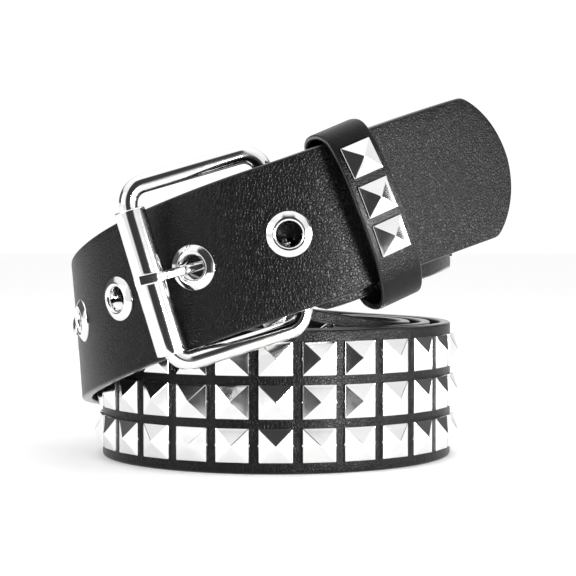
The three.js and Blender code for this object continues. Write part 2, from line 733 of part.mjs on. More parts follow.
const belt = new THREE.Group();
belt.add(strapMesh());
belt.add(...eyelets(), ...frontStuds());
belt.add(buckleGroup());
belt.add(meshAt('keeper_loop', keeperGeometry(), new THREE.MeshStandardMaterial(black)));
belt.add(...keeperStuds());

// Stand it on the surface, with the origin under the middle of its box.
const group = new THREE.Group();
group.add(belt);
group.updateMatrixWorld(true);
const box = new THREE.Box3().setFromObject(group, true);
const centre = box.getCenter(vector(0, 0, 0));
belt.position.set(-centre.x, -centre.y, -box.min.z);
group.updateMatrixWorld(true);

export default group;
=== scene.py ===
"""Looks of a coiled, fastened, studded leather belt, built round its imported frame.

The strap, the studs, the eyelets, the buckle and the keeper are surfaces worked out with numpy. Their
sizes are in millimetres and turn to metres when a mesh is made. Places are first measured from the
coil's upright axis, and the frame's own front stud says where that axis stands.
"""

import logging
import math
from dataclasses import dataclass, field
from enum import Enum
from typing import Any, Dict, List, Optional, Sequence, Tuple, Union

import bpy
import numpy as np
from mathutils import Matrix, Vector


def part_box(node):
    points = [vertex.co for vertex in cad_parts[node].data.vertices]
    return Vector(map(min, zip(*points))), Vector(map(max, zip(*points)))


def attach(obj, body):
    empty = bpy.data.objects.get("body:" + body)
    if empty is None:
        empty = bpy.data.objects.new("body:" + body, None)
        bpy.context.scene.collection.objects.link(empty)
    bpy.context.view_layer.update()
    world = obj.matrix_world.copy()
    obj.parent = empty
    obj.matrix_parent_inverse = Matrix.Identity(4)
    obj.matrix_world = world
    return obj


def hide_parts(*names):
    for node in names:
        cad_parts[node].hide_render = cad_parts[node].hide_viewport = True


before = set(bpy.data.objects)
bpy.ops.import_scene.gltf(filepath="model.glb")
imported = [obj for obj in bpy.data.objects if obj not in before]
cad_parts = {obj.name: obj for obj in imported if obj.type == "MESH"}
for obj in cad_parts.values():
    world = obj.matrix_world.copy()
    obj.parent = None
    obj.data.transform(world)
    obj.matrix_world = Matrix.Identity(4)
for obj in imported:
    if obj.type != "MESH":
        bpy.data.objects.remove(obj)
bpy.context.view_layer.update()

LOG = logging.getLogger("belt")

MM = 0.001
BODY = "root"
Array = np.ndarray
Z_AXIS = np.array([0.0, 0.0, 1.0])


class Slot(Enum):
    """The record's material slots."""

    LEATHER = "leather"
    KEEPER = "keeper_leather"
    STUDS = "studs"
    EYELETS = "eyelets"
    BUCKLE = "buckle"


# ---- Shader maths


@dataclass(frozen=True)
class Wire:
    """An output of a node, with operators that add Math nodes."""

    tree: bpy.types.NodeTree
    socket: bpy.types.NodeSocket

    def _maths(self, operation: str, first: Any, second: Any = 0.0) -> "Wire":
        """The result of a Math node on two values."""
        node = add_node(self.tree, "ShaderNodeMath", {"operation": operation}, {0: first, 1: second})
        return Wire(self.tree, node.outputs[0])

    def __add__(self, other: Any) -> "Wire":
        """Sum."""
        return self._maths("ADD", self, other)

    __radd__ = __add__

    def __sub__(self, other: Any) -> "Wire":
        """Difference."""
        return self._maths("SUBTRACT", self, other)

    def __rsub__(self, other: Any) -> "Wire":
        """Difference from a number."""
        return self._maths("SUBTRACT", other, self)

    def __mul__(self, other: Any) -> "Wire":
        """Product."""
        return self._maths("MULTIPLY", self, other)

    def __pow__(self, other: Any) -> "Wire":
        """Power."""
        return self._maths("POWER", self, other)

    def step(self, low: float, high: float) -> "Wire":
        """Rises smoothly from 0 at low to 1 at high.

        Args:
            low: Value that gives 0.
            high: Value that gives 1.

        Returns:
            The smooth step.
        """
        ends = {"Value": self, "From Min": low, "From Max": high}
        node = add_node(self.tree, "ShaderNodeMapRange", {"interpolation_type": "SMOOTHSTEP"}, ends)
        return Wire(self.tree, node.outputs["Result"])


def add_node(
    tree: bpy.types.NodeTree,
    kind: str,
    settings: Optional[Dict[str, Any]] = None,
    inputs: Optional[Dict[Union[int, str], Any]] = None,
) -> bpy.types.Node:
    """Adds a node, sets it up and fills its inputs.

    Args:
        tree: The node tree.
        kind: The node's type.
        settings: Its properties, set first.
        inputs: Numbers, colours or wires for its sockets.

    Returns:
        The node.
    """
    node = tree.nodes.new(kind)
    for name, value in (settings or {}).items():
        setattr(node, name, value)
    for key, value in (inputs or {}).items():
        if isinstance(value, Wire):
            tree.links.new(value.socket, node.inputs[key])
        else:
            node.inputs[key].default_value = value
    return node


class Sheet:
    """The node tree of one material, with the patterns that the finishes share."""

    def __init__(self, name: str) -> None:
        """Starts a material with a bare principled shader."""
        self.material = bpy.data.materials.new(name)
        self.material.use_nodes = True
        self.tree = self.material.node_tree
        self.tree.nodes.clear()
        self.shader = self.add("ShaderNodeBsdfPrincipled")
        surface = {"Surface": self.wire(self.shader, "BSDF")}
        self.add("ShaderNodeOutputMaterial", inputs=surface)
        self.place = self.wire(self.add("ShaderNodeTexCoord"), "Object")

    def add(
        self, kind: str, settings: Optional[dict] = None, inputs: Optional[dict] = None
    ) -> bpy.types.Node:
        """Adds a node to this tree."""
        return add_node(self.tree, kind, settings, inputs)

    def wire(self, node: bpy.types.Node, output: Union[int, str] = 0) -> Wire:
        """One output of a node."""
        return Wire(self.tree, node.outputs[output])

    def noise(self, size: float, detail: float) -> Wire:
        """Cloudy noise between 0 and 1, with clouds of a size in metres and octaves of detail."""
        sockets = {"Vector": self.place, "Scale": 1.0 / size, "Detail": detail}
        return self.wire(self.add("ShaderNodeTexNoise", inputs=sockets), "Fac")

    def warped(self, size: float, reach: float) -> Wire:
        """The object's coordinates, pushed about by noise.

        Args:
            size: Width of the noise's clouds in metres.
            reach: How far it pushes, in metres.

        Returns:
            The pushed coordinates.
        """
        noise = self.add("ShaderNodeTexNoise", inputs={"Vector": self.place, "Scale": 1.0 / size})
        ends = {0: self.wire(noise, "Color"), 1: (0.5, 0.5, 0.5)}
        centred = self.add("ShaderNodeVectorMath", {"operation": "SUBTRACT"}, ends)
        ends = {0: self.wire(centred), 1: (reach, reach, reach), 2: self.place}
        return self.wire(self.add("ShaderNodeVectorMath", {"operation": "MULTIPLY_ADD"}, ends))

    def cells(self, size: float, place: Wire) -> Wire:
        """Distance from the edges between irregular cells, in cell widths."""
        sockets = {"Vector": place, "Scale": 1.0 / size, "Randomness": 0.95}
        return self.wire(self.add("ShaderNodeTexVoronoi", {"feature": "DISTANCE_TO_EDGE"}, sockets))

    def attribute(self, name: str) -> Wire:
        """A value that the piece's mesh carries."""
        return self.wire(self.add("ShaderNodeAttribute", {"attribute_name": name}), "Fac")

    def mix(self, share: Wire, first: Sequence[float], second: Sequence[float]) -> Wire:
        """A colour between two, by a share."""
        node = self.add("ShaderNodeMix", {"data_type": "RGBA"}, {"Factor": share})
        node.inputs["A"].default_value = (*first, 1.0)
        node.inputs["B"].default_value = (*second, 1.0)
        return self.wire(node, "Result")

    def bump(self, height: Wire, depth: float) -> None:
        """Bumps the shader's normal by a height between 0 and 1, depth metres deep."""
        node = self.add("ShaderNodeBump", inputs={"Strength": 1.0, "Distance": depth, "Height": height})
        self.tree.links.new(node.outputs["Normal"], self.shader.inputs["Normal"])

    def feed(self, **sockets: Any) -> None:
        """Sets the shader's inputs to numbers or wires, with _ for a space in a socket's name."""
        for name, value in sockets.items():
            socket = self.shader.inputs[name.replace("_", " ")]
            if isinstance(value, Wire):
                self.tree.links.new(value.socket, socket)
            else:
                socket.default_value = value


# ---- Finishes


@dataclass(frozen=True)
class Leather:
    """Black leather with a pebbled grain, duller on its flesh side, with painted cut edges.

    Gloss, dull and the two edge values are roughnesses. Sizes are in metres.
    """

    name: str
    black: Tuple[float, float, float] = (0.003, 0.003, 0.0032)
    # Lighter colour for worn patches and for the cut edges. On the edges it is partly edge wear and partly a
    # painted highlight along the rounded edges.
    worn_and_edge_sheen: Tuple[float, float, float] = (0.016, 0.016, 0.017)
    pebble: float = 0.00085
    depth: float = 0.00011
    patch: float = 0.011
    patch_reach: float = 0.05
    # How far the cut edges turn to the lighter colour in patches: partly edge wear, partly a painted
    # highlight.
    edge_wear_and_sheen: float = 0.7
    gloss: float = 0.32
    dull: float = 0.6
    edge_gloss: float = 0.3
    edge_coat: float = 0.9
    edge_coat_gloss: float = 0.25
    specular: float = 0.17

    def material(self) -> bpy.types.Material:
        """Makes the material.

        Returns:
            The leather.
        """
        sheet = Sheet(self.name)
        place = sheet.warped(self.pebble * 2.2, self.pebble * 0.9)
        pebbles = sheet.cells(self.pebble, place).step(0.0, 0.22)
        creases = sheet.cells(self.pebble * 3.4, place).step(0.0, 0.1)
        pores = sheet.noise(self.pebble * 0.3, 3.0)
        patches = sheet.noise(self.patch, 4.0)
        cut = sheet.attribute("cut_edge")
        flesh = sheet.attribute("flesh_side")
        # The rounded cut edges turn lighter in random patches, partly edge wear and partly a painted
        # highlight where they catch light. The face gets random worn patches.
        wear_and_edge_sheen = cut * patches.step(0.35, 0.75) * self.edge_wear_and_sheen + patches.step(0.5, 0.9) * self.patch_reach
        face = flesh * (self.dull - self.gloss) + self.gloss + (patches - 0.5) * self.patch_reach
        sheet.feed(
            Base_Color=sheet.mix(wear_and_edge_sheen, self.black, self.worn_and_edge_sheen),
            Roughness=(1.0 - cut) * face + cut * self.edge_gloss,
            Specular_IOR_Level=self.specular,
            Coat_Weight=cut * self.edge_coat,
            Coat_Roughness=self.edge_coat_gloss,
        )
        grain = pebbles * 0.62 + creases * 0.22 + pores * 0.3
        sheet.bump(grain * (1.0 - cut * 0.7), self.depth)
        return sheet.material


@dataclass(frozen=True)
class Polish:
    """Bright plated metal with a faint haze, a slow waviness and a few marks."""

    name: str
    colour: Tuple[float, float, float] = (0.86, 0.86, 0.855)
    tarnish: Tuple[float, float, float] = (0.62, 0.62, 0.61)
    roughness: float = 0.07
    haze: float = 0.08
    ripple: float = 0.000012
    ripple_size: float = 0.004
    smear: float = 0.006
    mark: float = 0.0004

    def material(self) -> bpy.types.Material:
        """Makes the material.

        Returns:
            The metal.
        """
        sheet = Sheet(self.name)
        smears = sheet.noise(self.smear, 4.0)
        marks = sheet.noise(self.mark, 2.0)
        sheet.feed(
            Metallic=1.0,
            Base_Color=sheet.mix(smears.step(0.62, 0.92) * 0.5, self.colour, self.tarnish),
            Roughness=smears.step(0.35, 0.85) * self.haze + marks * 0.03 + self.roughness,
        )
        sheet.bump(sheet.noise(self.ripple_size, 1.0), self.ripple)
        return sheet.material


# ---- Surfaces


def unit(vectors: Array) -> Array:
    """Vectors scaled to length 1."""
    return vectors / np.linalg.norm(vectors, axis=-1, keepdims=True)


def turned(vector: Array, axis: Array, degrees: float) -> Array:
    """A vector square to an axis, turned about it: v cos a + (axis x v) sin a."""
    angle = math.radians(degrees)
    return vector * math.cos(angle) + np.cross(axis, vector) * math.sin(angle)


def smooth(value: Array, low: float, high: float) -> Array:
    """Smooth step: 3x squared less 2x cubed, where x is the share of the way from low to high."""
    x = np.clip((value - low) / (high - low), 0.0, 1.0)
    return x * x * (3.0 - 2.0 * x)


def grid_faces(rings: int, corners: int, is_loop: bool) -> Array:
    """Quads that join each ring to the next, round closed rings.

    Args:
        rings: How many rings.
        corners: Points in each ring.
        is_loop: Whether the last ring joins the first.

    Returns:
        Rows of four point numbers.
    """
    ring = np.arange(rings if is_loop else rings - 1)[:, None]
    corner = np.arange(corners)[None, :]
    here = ring * corners
    ahead = ((ring + 1) % rings) * corners
    side = (corner + 1) % corners
    quads = np.stack([here + corner, ahead + corner, ahead + side, here + side], axis=-1)
    return quads.reshape(-1, 4)


def signed_volume(points: Array, quads: Array) -> float:
    """Sum over faces of the volume between each face and the origin, positive if they face out."""
    a, b, c, d = (points[quads[:, k]] for k in range(4))
    first = np.einsum("ij,ij->i", a, np.cross(b, c)).sum()
    second = np.einsum("ij,ij->i", a, np.cross(c, d)).sum()
    return float(first + second) / 6.0


@dataclass
class Skin:
    """A closed surface: points in millimetres, faces, and values that its points carry."""

    points: Array
    faces: List[List[int]]
    values: Dict[str, Array] = field(default_factory=dict)

    @classmethod
    def sweep(cls, rings: Array, is_loop: bool, values: Optional[Dict[str, Array]] = None) -> "Skin":
        """A skin over rings of points, capped at both ends if it is no loop.

        Args:
            rings: Points as ring, corner, coordinate.
            is_loop: Whether the last ring joins the first.
            values: Values for each ring and corner.

        Returns:
            The skin, facing outwards.
        """
        count, corners = rings.shape[:2]
        points = rings.reshape(-1, 3)
        quads = grid_faces(count, corners, is_loop)
        faces = quads.tolist()
        first = list(range(corners))
        last = [(count - 1) * corners + k for k in reversed(range(corners))]
        if not is_loop:
            faces += [first, last]
        if signed_volume(points - points.mean(axis=0), quads) < 0.0:
            faces = [face[::-1] for face in faces]
        flat = {name: np.asarray(value, float).reshape(-1) for name, value in (values or {}).items()}
        return cls(points, faces, flat)

    @classmethod
    def join(cls, skins: Sequence["Skin"]) -> "Skin":
        """Several skins as one."""
        faces: List[List[int]] = []
        start = 0
        for skin in skins:
            faces += [[start + k for k in face] for face in skin.faces]
            start += len(skin.points)
        return cls(np.concatenate([skin.points for skin in skins]), faces)

    def placed(self, axes: Array, origin: Array) -> "Skin":
        """This skin with its X, Y and Z along three given axes, from an origin."""
        return Skin(self.points @ axes + origin, self.faces, self.values)


def lathe(profile: Array, steps: int) -> Array:
    """Rings of a closed profile turned round Z: a point at radius r goes to (r cos a, r sin a, z).

    Args:
        profile: Radius and height of each point.
        steps: How many rings.

    Returns:
        The rings.
    """
    angle = np.linspace(0.0, 2.0 * math.pi, steps, endpoint=False)[:, None]
    radius, height = profile[None, :, 0], profile[None, :, 1]
    return np.stack([radius * np.cos(angle), radius * np.sin(angle), height + 0.0 * angle], axis=-1)


def rounded_section(half_width: float, half_height: float, radius: float, sides: int, arc: int) -> Array:
    """A rounded rectangle: four quarter circles, and points between them along the wide sides.

    Args:
        half_width: Half of the first size.
        half_height: Half of the second.
        radius: Radius of the corners.
        sides: Points between the corners on each wide side.
        arc: Points on each corner.

    Returns:
        Rows of share, inset and height. The place across is share x (half width - radius) + inset.
    """
    rows: List[Array] = []
    turn = np.linspace(0.0, math.pi / 2.0, arc)
    flat = half_height - radius
    for quarter, (x_side, y_side) in enumerate([(1, 1), (-1, 1), (-1, -1), (1, -1)]):
        angle = turn + quarter * math.pi / 2.0
        height = y_side * flat + radius * np.sin(angle)
        rows.append(np.stack([np.full(arc, float(x_side)), radius * np.cos(angle), height], 1))
        if quarter in (0, 2):
            share = np.linspace(x_side, -x_side, sides + 2)[1:-1]
            rows.append(np.stack([share, 0.0 * share, np.full(sides, y_side * half_height)], 1))
    return np.concatenate(rows)


def across(section: Array, half_width: Array, radius: float) -> Array:
    """Places of a section's points across a strip whose half width changes along it.

    Args:
        section: Rows of rounded_section.
        half_width: One for each ring.
        radius: The corners' radius, which shrinks where the strip is narrower.

    Returns:
        One row for each ring.
    """
    core = np.maximum(half_width - radius, 0.0)[:, None]
    fit = np.minimum(half_width / radius, 1.0)[:, None]
    return section[None, :, 0] * core + section[None, :, 1] * fit


# ---- The strap's route


@dataclass(frozen=True)
class StrapSizes:
    """Sizes of the strap and of its coil."""

    width: float = 40.0
    thickness: float = 3.0
    edge_radius: float = 0.75
    tip_bulge: float = 10.5
    tip_corner: float = 0.35
    coil_radius: float = 51.2
    layer_pitch: float = 6.0
    tip_gap: float = 2.2
    turns_under_tip: int = 4
    fold_tail: float = 34.0
    fold_width: float = 33.0
    plain_end: float = 72.0


@dataclass(frozen=True)
class StudSizes:
    """Sizes of a pyramid stud and of the rows that studs stand in."""

    size: float = 9.5
    height: float = 2.6
    skirt: float = 0.62
    hollow: float = 1.1
    ridge: float = 0.16
    sunk: float = 0.35
    lift: float = 0.12
    leg: float = 0.8
    leg_reach: float = 0.18
    pitch: float = 11.7
    row_pitch: float = 12.0
    margin: float = 26.0


@dataclass(frozen=True)
class EyeletSizes:
    """Sizes of an eyelet and places of the row of them."""

    hole: float = 6.5
    wall: float = 0.6
    flange: float = 12.3
    rim: float = 1.3
    ridge: float = 4.35
    count: int = 7
    raised: float = 0.5
    first: float = 70.9
    pitch: float = 27.0
    pierced: int = 1

    def places(self) -> Array:
        """Distances of the eyelets from the end of the tip."""
        return self.first + self.pitch * np.arange(self.count)


@dataclass(frozen=True)
class BuckleSizes:
    """Sizes of the buckle's wire, roller and prong."""

    clearance: float = 0.3
    wire: float = 5.0
    bar_spacing: float = 38.0
    frame_gap: float = 2.0
    frame_slide: float = 1.2
    frame_corner: float = 5.5
    frame_swing: float = 2.5
    roller_size: float = 8.3
    roller_wall: float = 0.8
    roller_length: float = 39.9
    roller_slide: float = 1.1
    prong_width: float = 2.8
    prong_thickness: float = 1.6
    prong_overhang: float = 3.6
    prong_turn: float = 3.5
    prong_run: float = 25.7


@dataclass(frozen=True)
class KeeperSizes:
    """Sizes of the keeper and the place of its studs."""

    place: float = 48.6
    turn: float = 2.8
    width: float = 12.5
    thickness: float = 1.6
    bow: float = 6.0
    slack: float = 0.9
    depth: float = 5.2
    sag: float = 2.3
    stud_pitch: float = 10.9
    studs_up: float = 2.9
    stud_size: float = 8.8
    edge_radius: float = 0.5


# Rows of the strap's middle line, from the tip to the buckle: degrees round the coil from the front,
# distance out as a share of the coil's radius, layers further out, height as a share of the width,
# and degrees that the upper edge leans out.
ROUTE = np.array([
    (-57, 1.49, 0, 2.18, -8), (-48.8, 1.423, 0, 2.11, -6), (-38.6, 1.37, 0, 2.015, -3),
    (-28.3, 1.358, 0, 1.92, 0), (-18, 1.372, 0, 1.81, 2), (-8, 1.36, 0, 1.695, 3),
    (4, 1.344, 0, 1.575, 3), (18, 1.335, 0, 1.425, 3), (32, 1.31, 0, 1.28, 4),
    (46, 1.26, 0, 1.14, 5), (62, 1.185, 0, 1.025, 5.5), (80, 1.138, 0, 0.93, 4.5),
    (100, 1.135, 0, 0.85, 3.5), (125, 1.13, 0, 0.75, 2.5), (150, 1.125, 0, 0.65, 1.5),
    (180, 1.1, 0, 0.545, 0.5), (210, 1.06, 0, 0.5, 0), (240, 1.025, 0, 0.5, 0),
    (270, 1, 0, 0.5, 0), (330, 1, 0, 0.5, 0), (390, 1, 0, 0.5, 0), (450, 1, 0, 0.5, 0),
    (510, 1, -0.25, 0.5, 0), (570, 1, -0.7, 0.5, 0), (630, 1, -1, 0.5, 0), (690, 1, -1, 0.5, 0),
    (750, 1, -1, 0.5, 0), (810, 1, -1.05, 0.5, 0), (870, 1, -1.3, 0.5, 0), (930, 1, -1.75, 0.5, 0),
    (990, 1, -2, 0.5, 0), (1030, 1, -2.05, 0.51, 0), (1080, 1, -2.1, 0.66, 0),
    (1130, 1, -2.1, 0.9, 0), (1180, 1, -2.1, 1.17, 0), (1225, 1, -2.05, 1.42, 0),
    (1260, 1, -1.8, 1.58, 0), (1290, 1, -1.1, 1.69, 0), (1318, 1, -0.15, 1.79, 0),
    (1345, 0.975, 0, 1.88, 0), (1370, 1.02, 0, 1.92, 0), (1388, 1.11, 0, 1.89, 0),
    (1402, 1.21, 0, 1.83, 0),
])

# Rows of the buckle end behind the tip: degrees ahead of the buckle's bar, and how far it lies
# lower than the tip, as a share of the width.
BUCKLE_END = np.array([(24, 0.068), (16, 0.078), (8, 0.075), (0, 0.035)])


def blend_rows(table: Array, place: Array) -> Array:
    """Uniform cubic B-spline through a table's rows, held at both ends.

    With x the share of the way between two rows, the four nearest rows weigh (1 - x) cubed,
    3x cubed - 6x squared + 4, -3x cubed + 3x squared + 3x + 1 and x cubed, all divided by 6.

    Args:
        table: The rows.
        place: Where to read it, 0 at the first row and 1 at the next.

    Returns:
        One row for each place.
    """
    first = np.floor(place).astype(int)
    x = (place - first)[:, None]
    near = [table[np.clip(first + k, 0, len(table) - 1)] for k in (-1, 0, 1, 2)]
    weights = [(1 - x) ** 3, 3 * x**3 - 6 * x**2 + 4, -3 * x**3 + 3 * x**2 + 3 * x + 1, x**3]
    return sum(weight * row for weight, row in zip(weights, near)) / 6.0


@dataclass
class Frames:
    """Points on a line with the directions along it, out of its face and up its width."""

    point: Array
    along: Array
    out: Array
    up: Array


class Route:
    """The strap's middle line, measured by distance from the end of the tip."""

    STEPS = 40

    def __init__(self, table: Array, sizes: StrapSizes) -> None:
        """Samples the line.

        Args:
            table: Rows as in ROUTE.
            sizes: The strap's sizes.
        """
        place = np.arange(-self.STEPS, len(table) * self.STEPS + 1) / self.STEPS
        turn, spread, layer, height, lean = blend_rows(table, place).T
        out = sizes.coil_radius * spread + sizes.layer_pitch * layer
        angle = np.radians(turn)
        point = np.stack([-out * np.sin(angle), -out * np.cos(angle), sizes.width * height], axis=1)
        step = np.linalg.norm(np.diff(point, axis=0), axis=1)
        distance = np.concatenate([[0.0], np.cumsum(step)])
        kept = np.concatenate([[True], step > 0.0])
        self.distance = distance[kept]
        self.columns = np.column_stack([point, lean, turn])[kept]
        self.length = float(self.distance[-1])
        self.reach = StudSizes().pitch / 4.0

    def read(self, distance: Array) -> Array:
        """X, Y, Z, lean and turn at distances from the tip."""
        return np.stack([np.interp(distance, self.distance, c) for c in self.columns.T], axis=-1)

    def at_turn(self, turn: float) -> float:
        """The distance at which the line has a turn."""
        return float(np.interp(turn, self.columns[:, 4], self.distance))

    def frames(self, distance: Array) -> Frames:
        """Points and directions at distances.

        Along is the chord over a short reach. Out is square to it and level, up is square to both,
        and both then turn about along by the lean.

        Args:
            distance: Distances from the tip.

        Returns:
            The frames.
        """
        distance = np.asarray(distance, float)
        here = self.read(distance)
        ahead = self.read(distance + self.reach)[..., :3]
        along = unit(ahead - self.read(distance - self.reach)[..., :3])
        level = unit(np.cross(Z_AXIS, along))
        upright = np.cross(along, level)
        angle = -np.radians(here[..., 3:4])
        out = level * np.cos(angle) + upright * np.sin(angle)
        up = upright * np.cos(angle) - level * np.sin(angle)
        return Frames(here[..., :3], along, out, up)


@dataclass
class BuckleAxes:
    """The buckle's place: X from the roller to the folded bar, Y up along the bars, Z outwards."""

    origin: Array
    along: Array
    up: Array
    out: Array

    @property
    def matrix(self) -> Array:
        """The axes as rows."""
        return np.stack([self.along, self.up, self.out])

    def inside(self, point: Array) -> Array:
        """A point in the buckle's own axes."""
        return self.matrix @ (point - self.origin)


class BeltLine:
    """The strap's whole route, with the buckle that it carries."""

    def __init__(self, strap: StrapSizes, eyelets: EyeletSizes, buckle: BuckleSizes) -> None:
        """Lays the tip first, then the buckle end behind it, then the buckle on both."""
        self.strap = strap
        self.buckle_sizes = buckle
        tip = Route(ROUTE, strap)
        self.pierced_place = eyelets.first + eyelets.pierced * eyelets.pitch
        bar_place = self.pierced_place - buckle.prong_run
        bar_turn = float(tip.read(np.array(bar_place))[4])
        self.route = Route(np.concatenate([ROUTE, self._behind_tip(tip, bar_turn)]), strap)
        self.eyelets = self.route.frames(eyelets.places())
        self.eyelets.point = self.eyelets.point + self.eyelets.up * eyelets.raised
        held = tip.frames(np.array(bar_place))
        self.fold_radius = buckle.wire / 2 + buckle.clearance + strap.thickness / 2
        self.end = Frames(self.route.read(np.array(self.route.length))[:3], held.along, held.out, held.up)
        self.axes = self._find_roller()
        self.front_place = self.route.at_turn(360.0)

    def _behind_tip(self, tip: Route, bar_turn: float) -> Array:
        """Rows of the route that follow the tip's inner face, a thickness and a gap behind it."""
        rows = []
        for before, drop in BUCKLE_END:
            x, y, z, lean, turn = tip.read(np.array(tip.at_turn(bar_turn - before)))
            out = math.hypot(x, y) - self.strap.thickness - self.strap.tip_gap
            height = z / self.strap.width - drop
            turned_on = turn + 360 * self.strap.turns_under_tip
            rows.append((turned_on, out / self.strap.coil_radius, 0, height, lean))
        return np.array(rows)

    def _axes_at(self, distance: float) -> Tuple[BuckleAxes, float]:
        """The buckle's axes for a roller held at one place of the strap.

        Args:
            distance: The roller's distance from the tip.

        Returns:
            The axes, and the spacing of the two bars.
        """
        sizes = self.buckle_sizes
        here = self.route.frames(np.array(distance))
        up = self.end.up + here.up
        up = unit(up - self.end.out * (up @ self.end.out))
        up = turned(up, self.end.out, -sizes.frame_swing)
        tilt = abs(float(up @ here.out)) * self.strap.width / 2
        bar = self.end.point - self.end.out * self.fold_radius + up * sizes.frame_slide
        roller_out = self.strap.thickness / 2 + sizes.roller_size / 2 + sizes.clearance
        roller = here.point + here.out * (roller_out + tilt)
        span = bar - roller
        span -= up * (span @ up)
        spacing = float(np.linalg.norm(span))
        along = span / spacing
        return BuckleAxes(bar, along, up, np.cross(along, up)), spacing

    def _find_roller(self) -> BuckleAxes:
        """Halves the range of places until the bars are as far apart as the buckle's."""
        near = self.pierced_place
        far = self.pierced_place + self.buckle_sizes.bar_spacing
        for _ in range(30):
            middle = (near + far) / 2
            if self._axes_at(middle)[1] > self.buckle_sizes.bar_spacing:
                far = middle
            else:
                near = middle
        return self._axes_at(near)[0]


# ---- Making pieces


@dataclass(frozen=True)
class Workshop:
    """Turns skins into Blender objects in the part's frame."""

    axis: Array

    def build(
        self, name: str, skin: Skin, material: bpy.types.Material, sharp_angle: float
    ) -> bpy.types.Object:
        """Makes an object from a skin.

        Args:
            name: The piece's name.
            skin: Its surface, in millimetres from the coil's axis.
            material: Its material.
            sharp_angle: Degrees between faces above which the edge between them is sharp.

        Returns:
            The object, at the world's origin.
        """
        mesh = bpy.data.meshes.new(name)
        points = skin.points * MM + self.axis
        mesh.from_pydata(points.tolist(), [], skin.faces)
        mesh.polygons.foreach_set("use_smooth", np.ones(len(mesh.polygons), dtype=bool))
        for key, values in skin.values.items():
            layer = mesh.attributes.new(key, "FLOAT", "POINT")
            layer.data.foreach_set("value", values.astype(np.float32))
        mesh.materials.append(material)
        mesh.validate()
        mesh.update()
        mesh.set_sharp_from_angle(angle=math.radians(sharp_angle))
        piece = bpy.data.objects.new(name, mesh)
        bpy.context.scene.collection.objects.link(piece)
        return piece

    def finish(self, piece: bpy.types.Object, nodes: Sequence[str]) -> None:
        """Puts a piece on the frame.

        Args:
            piece: The piece.
            nodes: The CAD nodes that it replaces.
        """
        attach(piece, BODY)
        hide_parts(*nodes)
        LOG.info("%s: %d faces, for %d nodes", piece.name, len(piece.data.polygons), len(nodes))

    def cut(self, piece: bpy.types.Object, cutter: bpy.types.Object, sharp_angle: float) -> None:
        """Takes a cutter out of a piece, applies the result and removes the cutter.

        Args:
            piece: The piece.
            cutter: What is taken out of it.
            sharp_angle: Degrees between faces above which the edge between them is sharp.
        """
        modifier = piece.modifiers.new("cut", "BOOLEAN")
        modifier.operation = "DIFFERENCE"
        modifier.solver = "EXACT"
        modifier.object = cutter
        graph = bpy.context.evaluated_depsgraph_get()
        mesh = bpy.data.meshes.new_from_object(piece.evaluated_get(graph))
        piece.modifiers.clear()
        old = piece.data
        mesh.name = old.name + "_cut"
        mesh.set_sharp_from_angle(angle=math.radians(sharp_angle))
        piece.data = mesh
        bpy.data.meshes.remove(old)
        bpy.data.objects.remove(cutter)


